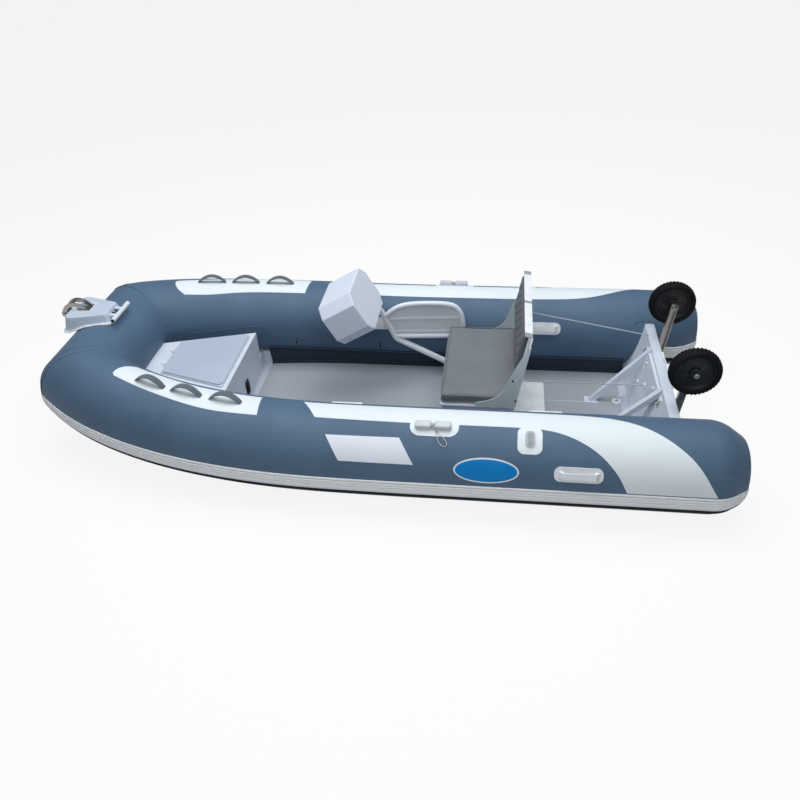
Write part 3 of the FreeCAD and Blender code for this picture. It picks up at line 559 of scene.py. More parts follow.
def bend_point(t):
    """Port tube's centreline over its bend; past 1 it runs on straight."""
    if t > 1:
        return bend_point(1.0) + bend_ahead(1.0) * (t - 1)
    x = (1 - t) ** 2 * BEND_X + 2 * t * (1 - t) * PULL_X + t * t * CORNER_X
    y = (1 - t * t) * SIDE_Y + t * t * CORNER_Y
    return Vector((x, y, TUBE_RADIUS + rise(x)))


def bend_ahead(t):
    """Direction of the port tube at a share of its bend."""
    t = max(0.002, min(1.0, t))
    return (bend_point(t) - bend_point(t - 0.001)).normalized()


def bend_share(x):
    """Share of the bend at which the tube's middle is at x."""
    a, b, c = BEND_X - 2 * PULL_X + CORNER_X, PULL_X - BEND_X, BEND_X - x
    return (-b + math.sqrt(max(0.0, b * b - a * c))) / a


def tube_axes(x):
    """Centre of the port tube at x, and its outboard and upward directions there."""
    if x > BEND_X:
        t = bend_share(min(x, CORNER_X))
        centre, ahead = bend_point(t), bend_ahead(t)
    else:
        centre = Vector((x, SIDE_Y, TUBE_RADIUS + rise(x)))
        slope = (rise(x) - rise(x - 0.001)) / 0.001
        ahead = Vector((1, 0, slope)).normalized()
    outboard = UP.cross(ahead).normalized()
    return centre, outboard, ahead.cross(outboard)


def on_axes(axes, angle, reach):
    centre, outboard, above = axes
    return centre + (outboard * math.cos(angle) + above * math.sin(angle)) * reach


def tube_point(x, angle, lift=0.0, side=PORT):
    """Point on a side tube; the angle is 0 outboard, 90 on top and 180 inboard."""
    taper = min(1.0, (x - STERN_X) / CONE_LENGTH)
    radius = TUBE_RADIUS * (CONE_TIP_SHARE + (1 - CONE_TIP_SHARE) * taper)
    point = on_axes(tube_axes(x), math.radians(angle), radius + lift)
    point.y *= side
    return point


def tube_normal(x, angle, side=PORT):
    return (tube_point(x, angle, 0.01, side) - tube_point(x, angle, 0.0, side)).normalized()


MITRE_POINT = bend_point(1.0)
MITRE_NORMAL = (bend_ahead(1.0) - ACROSS).normalized()


def bend_ring_point(t, angle, reach):
    """Point at an angle and a reach from the centreline of the bend."""
    ahead = bend_ahead(t)
    outboard = UP.cross(ahead).normalized()
    return on_axes((bend_point(t), outboard, ahead.cross(outboard)), angle, reach)


def mitre_share(angle, reach):
    """Bend share where the line at an angle meets the mitre plane."""
    low, high = 0.6, 1.6
    for _ in range(30):
        middle = (low + high) / 2
        if (bend_ring_point(middle, angle, reach) - MITRE_POINT).dot(MITRE_NORMAL) < 0:
            low = middle
        else:
            high = middle
    return low


# How finely the tubes are divided, round and along
AROUND = 112
STRAIGHT_ROWS = 40
BEND_ROWS = 34
CORNER_ROWS = 14
BOW_ROWS = 8
# Share of the bend where the corner's rows start, and how strongly the corner pulls their curve
LAST_SHARE = 0.66
CORNER_WEIGHT = 2.4


def stern_stations():
    """(x, radius) down the stern cone, both of its edges rounded."""
    tip = TUBE_RADIUS * CONE_TIP_SHARE
    bulge = 0.012
    outline = [(STERN_X + bulge, 0.0), (STERN_X - bulge * 0.2, tip + 0.002), (CONE_X, TUBE_RADIUS),
               (STRAIGHT_X, TUBE_RADIUS)]
    curve = rounded(outline, [0.046, 0.170], 10)
    dome = []
    for k in range(1, 6):
        share = k / 6
        point = Vector((STERN_X, 0.0)).lerp(curve[1], share)
        dome.append(Vector((point.x + (curve[1].x - STERN_X) * (share * share - share), point.y)))
    cone = [curve[11].lerp(curve[12], k / 5) for k in range(1, 5)]
    return [Vector((STERN_X, 0.0))] + dome + curve[1:12] + cone + curve[12:-1]


def pucker(x, angle):
    """Small gathers of the fabric where the cone is welded on."""
    near = math.exp(-((x - CONE_X) / 0.028) ** 2)
    outboard = math.exp(-((math.degrees(angle) - 32) / 34) ** 2)
    folds = math.sin(angle * 26) * math.sin(angle * 7 + 0.7)
    return near * folds * (0.0008 + 0.0022 * outboard)


def slack(point):
    """Slow unevenness of an inflated skin."""
    return 0.0006 * noise.noise(point * 2.3) + 0.0003 * noise.noise(point * 7.0)


def corner_line(angle, reach):
    """Points of one line along the tubes, from the bend round the mitre to the middle of the bow."""
    corner_share = mitre_share(angle, reach)
    corner = bend_ring_point(corner_share, angle, reach)
    bow_x = CORNER_X + math.cos(angle) * reach
    bow_z = MITRE_POINT.z + math.sin(angle) * reach
    corner = Vector((bow_x, corner.y, bow_z)).lerp(corner, 0.5)
    span = 0.085 + 0.020 * math.cos(angle)
    before_share = corner_share - span / 0.97
    before = bend_ring_point(before_share, angle, reach)
    after = Vector((corner.x, corner.y - span, corner.z)).lerp(Vector((bow_x, corner.y - span, bow_z)), 0.6)
    line = []
    rows = BEND_ROWS // 2
    for k in range(rows):
        line.append(bend_ring_point(LAST_SHARE + (before_share - LAST_SHARE) * k / rows, angle, reach))
    for k in range(CORNER_ROWS):
        u = k / CORNER_ROWS
        shares = ((1 - u) ** 2, 2 * CORNER_WEIGHT * u * (1 - u), u * u)
        line.append((before * shares[0] + corner * shares[1] + after * shares[2]) / sum(shares))
    middle = Vector((bow_x, 0.0, bow_z))
    for k in range(BOW_ROWS + 1):
        line.append(after.lerp(middle, k / BOW_ROWS))
    return line


def skin_line(angle, reach, stern=True):
    """One line along the port side and half the bow, at an angle and a reach from the centreline."""
    line = []
    if stern:
        for x, radius in stern_stations():
            gathers = pucker(x, angle) if radius > 0.12 else 0.0
            line.append(on_axes(tube_axes(x), angle, radius + reach - TUBE_RADIUS + gathers))
    for k in range(STRAIGHT_ROWS):
        x = STRAIGHT_X + (BEND_X - STRAIGHT_X) * k / STRAIGHT_ROWS
        line.append(on_axes(tube_axes(x), angle, reach))
    for k in range(BEND_ROWS):
        line.append(bend_ring_point(LAST_SHARE * k / BEND_ROWS, angle, reach))
    return line + corner_line(angle, reach)


def whole_line(line):
    """The line carried on round the starboard side."""
    return line + mirrored(reversed(line[:-1]), STARBOARD)


def tube_skin():
    """Both side tubes and the bow tube as one skin."""
    rings = []
    for ring in zip(*(whole_line(skin_line(a, TUBE_RADIUS)) for a in angles(AROUND))):
        middle = sum(ring, Vector()) / AROUND
        uneven = []
        for p in ring:
            arm = p - middle
            uneven.append(p + arm.normalized() * slack(p) if arm.length > 0.01 else p)
        rings.append(uneven)
    piece = swept("skin_tubes", rings, "tube", caps=False)
    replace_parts(piece, "tube_port", "tube_bow", "tube_starboard")


CORNER_ROW = STRAIGHT_ROWS + BEND_ROWS + BEND_ROWS // 2 + CORNER_ROWS // 2
SEAM_HALF = 0.022


def seam_tapes():
    """Welded lap over each mitre: a thin tape with a fine dark edge."""
    verts = []
    for angle in angles(AROUND):
        for way, lift in ((-1.02, -0.001), (-1.0, 0.0010), (1.0, 0.0010), (1.02, -0.001)):
            line = skin_line(angle, TUBE_RADIUS + lift, stern=False)
            run = (line[CORNER_ROW + 1] - line[CORNER_ROW - 1]).normalized()
            verts.append(line[CORNER_ROW] + run * way * SEAM_HALF)
    for side_name, side in SIDES.items():
        faces = []
        for k in range(AROUND):
            a, b = 4 * k, 4 * ((k + 1) % AROUND)
            for j in range(3):
                face = (a + j, a + j + 1, b + j + 1, b + j)
                faces.append(face if side == PORT else tuple(reversed(face)))
        tape = add_mesh("seam_mitre_" + side_name, mirrored(verts, side), faces, "tube")
        sharpen(tape, 40)
        pipe("seam_edge_" + side_name, mirrored(verts[2::4], side), 0.0009, "flap", sides=6, closed=True)


def tube_axes_at(x, angle, side=PORT, lift=0.0):
    """Origin on the skin with the directions along the tube, across it and out of it."""
    origin = tube_point(x, angle, lift, side)
    out = tube_normal(x, angle, side)
    along = (tube_point(x + 0.01, angle, lift, side) - tube_point(x - 0.01, angle, lift, side)).normalized()
    return origin, along, out.cross(along).normalized(), out


def on_skin(skin_axes, along, across, out):
    """Point by its distances from such an origin."""
    origin, run, over, up = skin_axes
    return origin + run * along + over * across + up * out


ROWLOCK_PLACE = (-0.345, 72.5)
ROWLOCK_HEIGHT = 0.0175


def rowlocks():
    """Oar socket on each side: two moulded blocks on a base, with the pin between them."""
    verts, faces = rounded_block(Vector((0.0385, 0.0205, 0.0125)), 0.0085, (14, 8, 6))
    for name, side in SIDES.items():
        axes = tube_axes_at(*ROWLOCK_PLACE, side)
        foot = (on_skin(axes, 0, 0, 0.0015), axes[1], axes[2])
        base = plate("rowlock_base_" + name, rounded_box(0.176, 0.040, 0.018), 0.0065, foot, "fitting_pale")
        shown = [bevelled(base, 0.0015)]
        for label, shift in (("aft", -0.0465), ("fore", 0.0465)):
            placed = [on_skin(axes, v.x + shift, v.y, v.z + ROWLOCK_HEIGHT) for v in verts]
            shown.append(add_mesh("rowlock_block_%s_%s" % (name, label), placed, faces, "fitting_pale"))
        pin = [on_skin(axes, along, 0, ROWLOCK_HEIGHT) for along in (-0.009, 0.0, 0.009)]
        shown.append(pipe("rowlock_pin_" + name, pin, 0.0085, "fitting", sides=20))
        for piece in shown:
            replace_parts(piece, "rowlock_" + name)


def weld_lines():
    """Edges of the reinforcing layers that show as fine ridges inside the starboard tube."""
    ridges = {"locker": [(1.321, 182.4), (1.183, 178.6), (1.038, 174.4), (0.918, 170.4), (0.852, 170.8),
                         (0.817, 174.0), (0.797, 182.8), (0.781, 194.9)],
              "transom": [(-1.383, 179.0), (-1.417, 148.0), (-1.450, 142.0), (-1.536, 144.0),
                          (-1.560, 151.0)]}
    for name, places in ridges.items():
        line = [on_skin(tube_axes_at(x, angle, STARBOARD), 0, 0, 0.0002) for x, angle in places]
        pipe("weld_" + name, spline(line, 6), 0.0022, "tube", sides=8)


# Patches and coloured fabric laid on the tubes
def flat_to_mesh(outline, steps):
    """Fill a closed flat outline, cut along a grid so that it can follow a curve."""
    bm = bmesh.new()
    bm.faces.new([bm.verts.new((p[0], p[1], 0.0)) for p in outline])
    bmesh.ops.triangulate(bm, faces=bm.faces[:])
    for axis in (0, 1):
        low = min(p[axis] for p in outline)
        high = max(p[axis] for p in outline)
        cuts = int((high - low) / steps[axis])
        normal = Vector((1 - axis, axis, 0))
        for k in range(1, cuts + 1):
            at = normal * (low + (high - low) * k / (cuts + 1))
            geometry = bm.verts[:] + bm.edges[:] + bm.faces[:]
            bmesh.ops.bisect_plane(bm, geom=geometry, plane_co=at, plane_no=normal, dist=1e-6)
    bm.normal_update()
    for face in bm.faces:
        if face.normal.z < 0:
            face.normal_flip()
    bm.verts.index_update()
    verts = [Vector((v.co.x, v.co.y)) for v in bm.verts]
    faces = [tuple(v.index for v in f.verts) for f in bm.faces]
    rim = [tuple(v.index for v in e.verts) for e in bm.edges if len(e.link_faces) == 1]
    bm.free()
    return verts, faces, rim


ARC = TUBE_RADIUS * math.pi / 180


def tube_patch(name, outline, side_name, material, lift=0.0012, steps=(0.03, 0.02)):
    """Thin patch on a side tube from an outline of (x, angle) points."""
    side = SIDES[side_name]

    def place(p, height):
        return tube_point(p[0], p[1] / ARC, height, side)

    flat, faces, rim = flat_to_mesh([(x, angle * ARC) for x, angle in outline], steps)
    top = [place(p, lift) for p in flat]
    normals = [(place(p, lift + 0.01) - t).normalized() for p, t in zip(flat, top)]
    if side == PORT:
        faces = [tuple(reversed(f)) for f in faces]
    verts = list(top)
    for a, b in rim:
        base = len(verts)
        verts += [top[a], top[b], place(flat[b], -0.001), place(flat[a], -0.001)]
        faces.append((base, base + 1, base + 2, base + 3))
    piece = add_mesh(name + "_" + side_name, verts, faces, material)
    for polygon in piece.data.polygons:
        if polygon.vertices[0] >= len(top):
            normals += [polygon.normal.copy() for _ in polygon.vertices]
    piece.data.normals_split_custom_set_from_vertices([tuple(n) for n in normals])


def path_outline(*runs):
    """Closed outline from runs of points, each run a smooth curve between corners."""
    made = []
    for run in runs:
        made += spline(run, 10)[:-1]
    return [(p[0], p[1]) for p in made]


STARBOARD_BOW_SHIFT = 0.035


def bow_patches():
    """White patches on the shoulders, which carry the grab handles."""
    edge = [(0.521, 73), (0.786, 71), (1.075, 77), (1.250, 81), (1.325, 82.5)]
    tip = [(1.325, 82.5), (1.343, 87), (1.346, 97), (1.335, 108), (1.302, 119)]
    inner = [(1.302, 119), (1.150, 119.5), (0.900, 114), (0.545, 112.5)]
    outline = path_outline(edge, tip, inner, [(0.545, 112.5), (0.521, 73)])
    for name, side in SIDES.items():
        shift = STARBOARD_BOW_SHIFT if side == STARBOARD else 0.0
        tube_patch("bow_patch", [(x + shift, angle) for x, angle in outline], name, "patch")


def side_stripes():
    """White band along the top of each tube that sweeps down to the strake aft."""
    lower = [(0.235, 78), (-0.175, 77), (-0.50, 77), (-0.727, 77), (-0.856, 75.5), (-0.973, 68), (-1.098, 50),
             (-1.191, 26), (-1.247, 1)]
    upper = [(-1.646, 1), (-1.557, 36), (-1.469, 59), (-1.343, 83), (-1.224, 98), (-1.087, 106.5),
             (-0.85, 110), (-0.30, 111), (0.322, 111)]
    outline = path_outline(lower, [(-1.247, 1), (-1.646, 1)], upper, [(0.322, 111), (0.235, 78)])
    for name in SIDES:
        tube_patch("side_stripe", outline, name, "patch")


def on_tube(x, angle, outline):
    """Flat outline in metres as (x, angle) points round a place on a tube."""
    return [(x + p[0], angle + p[1] / ARC) for p in outline]


def fitting_patches():
    """Doublers of white fabric under the rowlocks and valves."""
    rowlock = on_tube(-0.350, 74.0, rounded_box(0.232, 0.112, 0.048, 8))
    valve = on_tube(-0.797, 60.5, rounded_box(0.114, 0.134, 0.032, 8))
    for name in SIDES:
        tube_patch("rowlock_patch", rowlock, name, "patch", lift=0.0022)
        tube_patch("valve_patch", valve, name, "patch", lift=0.0022)


OVAL_HALF = (0.152, 0.063)


def bare_plates():
    """Bare pale plate and bare blue oval with a white rim on each side."""
    layers = (("rim", 0.0, "patch", 0.0012), ("field", 0.008, "badge", 0.0018))
    for name in SIDES:
        tube_patch("side_plate", [(0.169, 55), (-0.188, 56), (-0.260, 24), (0.098, 24)], name, "plate")
        for label, inset, material, lift in layers:
            oval = [((OVAL_HALF[0] - inset) * math.cos(a), (OVAL_HALF[1] - inset) * math.sin(a))
                    for a in angles(72)]
            tube_patch("oval_" + label, on_tube(-0.601, 21, oval), name, material, lift=lift)


# Strake: a ribbed rubber band, as (angle, lift) points from its upper rib down, with its back in the tube
STRAKE_BACK = -0.003
STRAKE_PROFILE = [(-0.5, 0.0), (-0.6, 0.0042), (-0.9, 0.0056), (-1.8, 0.0062), (-3.1, 0.0056), (-3.4, 0.0042),
                  (-3.5, 0.0022), (-4.2, 0.0022), (-4.3, 0.0060), (-4.7, 0.0084), (-6.6, 0.0088),
                  (-7.3, 0.0072), (-7.5, 0.0024), (-8.2, 0.0024), (-8.4, 0.0078), (-8.8, 0.0100),
                  (-10.7, 0.0104), (-11.4, 0.0086), (-11.6, 0.0028), (-12.3, 0.0028), (-12.5, 0.0086),
                  (-13.0, 0.0110), (-14.0, 0.0114), (-19.4, 0.0112), (-19.9, 0.0092), (-20.0, STRAKE_BACK),
                  (-11.0, STRAKE_BACK), (-0.5, STRAKE_BACK)]
# Near-black band below the strake: painted shade of the tube's underside
STRAKE_SHADE_BAND = [(-19.8, 0.0), (-20.0, 0.0098), (-20.5, 0.0110), (-22.5, 0.0112), (-27.5, 0.0104),
              (-31.0, 0.0060), (-32.5, STRAKE_BACK), (-19.8, STRAKE_BACK)]
# Grey strips laid in these grooves are painted shade of the recesses
STRAKE_GROOVES = [-3.85, -7.85, -11.95]
GROOVE_HALF = 0.30


def divided(line, longest=0.03):
    """Open line cut into pieces no longer than about that length, without its last point."""
    made = []
    for a, b in zip(line, line[1:]):
        pieces = max(1, int((b - a).length / longest))
        made += [a.lerp(b, k / pieces) for k in range(pieces)]
    return made


def stern_wrap():
    """Stations (base point, outboard) from inside the stern cone round to the straight side."""
    tip = TUBE_RADIUS * CONE_TIP_SHARE
    plan = [(-1.6, -TUBE_RADIUS), (CONE_X, -TUBE_RADIUS), (STERN_X, -tip), (STERN_X, tip),
            (CONE_X, TUBE_RADIUS), (STRAIGHT_X, TUBE_RADIUS)]
    dense = divided(rounded(plan, [0.17, 0.07, 0.07, 0.17], 12))
    stations = []
    for a, b in zip(dense, dense[1:]):
        run = (b - a).normalized()
        stations.append((Vector((a.x, SIDE_Y + a.y, TUBE_RADIUS)), Vector((-run.y, run.x, 0))))
    return stations


def wrapped_band(name, profile, material):
    """Sweep (angle below the tube's middle, lift) points round both sides, the bow and the stern cones."""
    lines = []
    for angle, lift in profile:
        a, reach = math.radians(angle), TUBE_RADIUS + lift
        wrap = [base + outboard * (reach * math.cos(a) - TUBE_RADIUS) + UP * (reach * math.sin(a))
                for base, outboard in stern_wrap()]
        lines.append(whole_line(wrap + skin_line(a, reach, stern=False)))
    rings = [[line[row] for line in reversed(lines)] for row in range(len(lines[0]))]
    return sharpen(swept(name, rings, material), 50)


def make_strakes():
    """Ribbed rubbing strake, with grey strips in its grooves as painted shade and a near-black band below it
    as painted shade of the tube's underside.
    """
    band = wrapped_band("skin_strakes", STRAKE_PROFILE, "strake")
    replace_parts(band, "strake_port", "strake_bow", "strake_starboard")
    wrapped_band("strake_shade_band", STRAKE_SHADE_BAND, "strake_painted_shade")
    for k, angle in enumerate(STRAKE_GROOVES):
        upper, lower = angle + GROOVE_HALF, angle - GROOVE_HALF
        filling = [(upper, 0.0010), (upper, 0.0036), (lower, 0.0038), (lower, 0.0010)]
        wrapped_band("strake_groove_%d" % k, filling, "groove_painted_shade")


# Cockpit floor and the fabric flaps that close it off against the tubes
COCKPIT_AFT, COCKPIT_FORE = -1.392, 0.822
FLAP_ANGLE = 218.5
FLAP_FOOT = 0.173
PAD_EDGE = 0.205


def deck_edge(x, inset, height=0.0):
    """Point by its distance inboard of the port tube's middle."""
    centre, outboard, _ = tube_axes(x)
    foot = centre - outboard * inset
    return Vector((foot.x, foot.y, height))


def make_flaps():
    """Strip welded to each tube and lapped down on to the deck, in near-black fabric that is painted shade
    under the tube.
    """
    stations = [COCKPIT_AFT + (COCKPIT_FORE - COCKPIT_AFT) * k / 90 for k in range(91)]
    for name, side in SIDES.items():
        rings = []
        for x in stations:
            axes = tube_axes(x)
            low = deck_edge(x, FLAP_FOOT, DECK_TOP + 0.0018)
            high = on_axes(axes, math.radians(FLAP_ANGLE), TUBE_RADIUS + 0.0016)
            lapped = on_axes(axes, math.radians(FLAP_ANGLE - 9), TUBE_RADIUS + 0.0016)
            toe = low - axes[1] * 0.028
            line = spline([toe, low.lerp(toe, 0.2), low.lerp(high, 0.3) - axes[1] * 0.004, high, lapped], 4)
            under = [p + (axes[0] - p).normalized() * 0.0008 for p in line]
            ring = mirrored(line + list(reversed(under)), side)
            rings.append(ring if side == PORT else list(reversed(ring)))
        sharpen(swept("flap_" + name, rings, "flap"), 50)


DECK_AXES = (Vector((0, 0, DECK_TOP)), AHEAD, ACROSS)
PAD_AFT, PAD_FORE = (-1.350, -0.745), (-0.335, COCKPIT_FORE)
TUNNEL_HALF, TUNNEL_GAP = 0.134, 0.012


def deck_pad(label, outline):
    plate("deck_pad_" + label, outline, 0.0012, DECK_AXES, "deck")


def pad_edge(x0, x1):
    """Port edge of a deck pad, from its forward end aft."""
    return [deck_edge(x0 + (x1 - x0) * k / 14, PAD_EDGE).xy for k in reversed(range(15))]


def deck_pads():
    """Non-skid sheets between the pale lines of bare deck."""
    deck_pad("aft", rounded_loop(rectangle(*PAD_AFT, -TUNNEL_HALF, TUNNEL_HALF), 0.010, 4))
    port = [(x, TUNNEL_HALF + TUNNEL_GAP) for x in PAD_AFT] + [tuple(q) for q in pad_edge(*PAD_AFT)]
    deck_pad("aft_port", port)
    deck_pad("aft_starboard", [(x, -y) for x, y in reversed(port)])
    edge = pad_edge(*PAD_FORE)
    deck_pad("fore", [(q.x, -q.y) for q in reversed(edge)] + edge)


# Locker fittings: (x, half width) of the locker's ends, the lid sheet's ends, its latch and its hinges
LOCKER_AFT, LOCKER_FRONT = (0.830, 0.312), (1.385, 0.150)
SHEET_AFT, SHEET_FRONT = 0.857, 1.249
SHEET_INSET = 0.029
LATCH_Y = -0.017
HINGE_X, HINGE_HALF, HINGE_TOP = 1.262, 0.07, 0.3025


def locker_half(x):
    """Half width of the tapered locker at x."""
    share = (x - LOCKER_AFT[0]) / (LOCKER_FRONT[0] - LOCKER_AFT[0])
    return LOCKER_AFT[1] + (LOCKER_FRONT[1] - LOCKER_AFT[1]) * share


def locker_trim():
    """Non-skid sheet on the lid, latch and hinge screws."""
    corners = [(x, -locker_half(x) + SHEET_INSET) for x in (SHEET_AFT, SHEET_FRONT)]
    outline = rounded_loop(corners + [(x, -y) for x, y in reversed(corners)], 0.026, 6)
    lid_top = (Vector((0, 0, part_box("locker_lid")[1].z)), AHEAD, ACROSS)
    plate("lid_sheet", outline, 0.0012, lid_top, "lid", body="locker_lid")
    latch = (Vector((0.8297, LATCH_Y, 0.098)), -ACROSS, UP)
    plate("latch_plate", rounded_box(0.050, 0.102, 0.008), 0.005, latch, "black")
    lever = (Vector((0.8247, LATCH_Y, 0.104)), -ACROSS, UP)
    plate("latch_lever", rounded_box(0.024, 0.066, 0.009), 0.009, lever, "black")
    for name, side in SIDES.items():
        for dx in (0.012, 0.022):
            place = (HINGE_X + dx, side * HINGE_HALF, HINGE_TOP)
            bolt("hinge_screw_" + name + str(int(dx * 1000)), place, UP, 0.0028)


# Seat: moulded box, bench cushion and quilted backrest
SEAT_FRONT, SEAT_AFT, SEAT_HALF, SEAT_TOP = -0.342, -0.737, 0.355, 0.310
BACK_BOTTOM_Z, BACK_TOP_Z = 0.505, 0.725
BACK_BOTTOM = Vector((-0.738, 0.0, BACK_BOTTOM_Z))
BACK_LEAN = math.radians(10.5)
BACK_LENGTH = (BACK_TOP_Z - BACK_BOTTOM_Z) / math.cos(BACK_LEAN)
QUILT_WIDTH, QUILT_HEIGHT = 0.082, 0.066
BACK_UP = Vector((-math.sin(BACK_LEAN), 0, math.cos(BACK_LEAN)))
BACK_OUT = Vector((math.cos(BACK_LEAN), 0, math.sin(BACK_LEAN)))


def bench_cushion():
    """Crowned pad on the seat box, its sides pulled in, with a piping round each rim."""
    half = Vector((0.194, 0.349, 0.026))
    verts, faces = rounded_block(half, 0.017, (50, 90, 12))
    centre = Vector(((SEAT_FRONT + SEAT_AFT) / 2, 0, SEAT_TOP + 0.030))
    shaped = []
    for v in verts:
        u, w = v.x / half.x, v.y / half.y
        crown = 0.005 * (1 - u * u) * (1 - w ** 4) if v.z > 0 else 0.0
        pull = 1 - 0.010 * (1 - u * u)
        shaped.append(Vector((v.x * (1 - 0.012 * (1 - w * w)), v.y * pull, v.z + crown)) + centre)
    piece = add_mesh("bench_cushion", shaped, faces, "cushion")
    inflate(piece, 0.006, 0.005)
    for vertex in piece.data.vertices:
        vertex.co.z = max(vertex.co.z, SEAT_TOP + 0.0012)
    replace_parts(piece, "seat_cushion")
    rim = rounded_loop(rectangle(-0.192, 0.192, -0.348, 0.348), 0.022, 6)
    for label, z in (("upper", 0.052), ("lower", 0.010)):
        line = [Vector((p[0], p[1], 0)) + Vector((centre.x, 0, SEAT_TOP + z)) for p in rim]
        pipe("bench_piping_" + label, line, 0.0022, "cushion", sides=8, closed=True)


def back_place(across, up, out):
    """Point on the leaning backrest, from the foot of its front face."""
    return BACK_BOTTOM + BACK_UP * up + BACK_OUT * out + ACROSS * across


def ramp(distance, width):
    """From 0 at a line to 1 beyond a width."""
    return min(1.0, max(0.0, distance / width))


def quilt(across, up):
    """Height of the stitched diamonds at a place on the backrest, from 0 in a seam to 1."""
    first = abs(math.sin(math.pi * (across / QUILT_WIDTH + up / QUILT_HEIGHT)))
    second = abs(math.sin(math.pi * (across / QUILT_WIDTH - up / QUILT_HEIGHT)))
    return min(1.0, 2.2 * min(first, second)) ** 0.6


def backrest_cushion():
    """Pad with quilted diamonds between a plain band along its top and its edges."""
    half = Vector((0.340, 0.106, 0.0105))
    verts, faces = rounded_block(half, 0.0098, (100, 34, 6))
    piece = add_mesh("backrest_cushion_pad", verts, faces, "quilt")
    inflate(piece, 0.005, 0.004)
    subdivide(piece)
    for vertex in piece.data.vertices:
        x, y, z = vertex.co
        inside = ramp(0.330 - abs(x), 0.012) * ramp(0.078 - y, 0.006) * ramp(y + 0.100, 0.006)
        if z > 0:
            z -= 0.0062 * inside * (1 - quilt(x, y)) + 0.0022 * math.exp(-((y - 0.080) / 0.0025) ** 2)
        vertex.co = back_place(x, y + 0.110, max(z + 0.0120, 0.0008))
    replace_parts(piece, "backrest_cushion")


def backrest_trim():
    """White edge board of the backrest with its end caps, strap and piping."""
    top = BACK_LENGTH + 0.0005
    pieces = {"cap_port": (0.316, 0.3555), "board_port": (0.012, 0.316), "strap": (-0.012, 0.012),
              "board_starboard": (-0.316, -0.012), "cap_starboard": (-0.3555, -0.316)}
    for label, (y0, y1) in pieces.items():
        material, lift = ("white", 0.003) if label.startswith("board") else ("fitting_dark", 0.004)
        axes = (back_place(y0, top, -0.0185), ACROSS, BACK_OUT)
        outline = rounded_loop(rectangle(0, y1 - y0 - 0.001, 0, 0.0385), 0.003, 3)
        plate("back_" + label, list(reversed(outline)), -lift, axes, material)
    for name, side in SIDES.items():
        line = [back_place(side * 0.3558, up, -0.0188) for up in (0.002, top * 0.5, top)]
        pipe("back_edge_" + name, line, 0.0030, "white", sides=8)


def seat_skin():
    """Seat box with a rolled lip."""
    inset = 0.012
    centre_x = (SEAT_FRONT + SEAT_AFT) / 2
    length, width = SEAT_FRONT - SEAT_AFT, 2 * SEAT_HALF
    steps = [(inset + 0.006, 0.0102), (inset + 0.002, 0.014), (inset, 0.020), (inset, 0.292),
             (inset - 0.003, 0.2965), (0.003, 0.2985), (0.0, 0.3005), (0.0, 0.3065), (0.001, 0.309),
             (0.004, 0.3102)]
    rings = []
    for back, z in steps:
        loop = rounded_box(length - 2 * back, width - 2 * back, 0.022, 8)
        rings.append([Vector((centre_x + p[0], p[1], z)) for p in loop])
    piece = swept("skin_seat_box", rings, "hull")
    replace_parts(sharpen(piece, 50), "seat_box")


def aft_hatch():
    """Pale hatch on the deck behind the seat."""
    outline = rounded_loop(rectangle(-0.914, -0.7400, -0.312, 0.312), 0.008, 4)
    bevelled(plate("aft_hatch", outline, 0.0060, DECK_AXES, "white"), 0.0015)


def seat_brackets():
    """Side plates that hold the backrest, with their bolts."""
    front = spline([(-0.527, 0.3125), (-0.534, 0.332), (-0.585, 0.345), (-0.636, 0.371), (-0.668, 0.411),
                    (-0.688, 0.465), (-0.722, 0.545), (-0.758, 0.620), (-0.778, 0.660)], 5)
    bolts = {"port": [(-0.714, 0.474), (-0.733, 0.352)], "starboard": [(-0.705, 0.466)]}
    outline = [(-0.732, 0.3125)] + [(p.x, p.y) for p in front] + [(-0.795, 0.672)]
    for name, side in SIDES.items():
        y = 0.3559 if side == PORT else -0.3599
        axes = (Vector((0, y + 0.004, 0)), AHEAD, UP)
        piece = plate("skin_bracket_" + name, outline, 0.004, axes, "bracket")
        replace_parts(piece, "seat_bracket_" + name)
        for k, (x, z) in enumerate(bolts[name]):
            bolt("bracket_bolt_" + name + str(k), (x, side * 0.3602, z), ACROSS * side, 0.0042, "black_steel")


# Bow step: a saddle moulding on the bow tube with the roller's slot in its top
STEP_TOP = 0.622
STEP_FOOT = 0.536


def step_loop(grow, front_x=1.765, aft_x=1.535, front_half=0.136, aft_half=0.072, radii=(0.038, 0.016)):
    """Outline of the step at one level, moved outward by grow."""
    front, aft = (front_x + grow, front_half + grow), (aft_x - grow, aft_half + grow)
    corners = [aft, (aft[0], -aft[1]), (front[0], -front[1]), front]
    middle = ((aft[0] + front[0]) / 2, (aft[1] + front[1]) / 2)
    loop = rounded([middle] + corners + [middle], [radii[1], radii[1], radii[0], radii[0]], 9)[:-1]
    return [Vector(p) for p in reversed(loop)]


def skirt_height(x):
    """Level of the step's foot, which follows the bow tube's skin down to its lowest edge."""
    reach = max(0.0, TUBE_RADIUS ** 2 - (x - CORNER_X) ** 2)
    return max(MITRE_POINT.z + math.sqrt(reach) + 0.002, STEP_FOOT)


def skirt_rings(steps):
    return [[Vector((p.x, p.y, skirt_height(p.x) + lift)) for p in step_loop(grow)] for grow, lift in steps]


def top_rings(steps, **shape):
    return [[Vector((p.x, p.y, STEP_TOP + lift)) for p in step_loop(grow, **shape)] for grow, lift in steps]


ROLLER_SLOT = {"front_x": 1.738, "aft_x": 1.648, "front_half": 0.042, "aft_half": 0.042,
               "radii": (0.008, 0.008)}


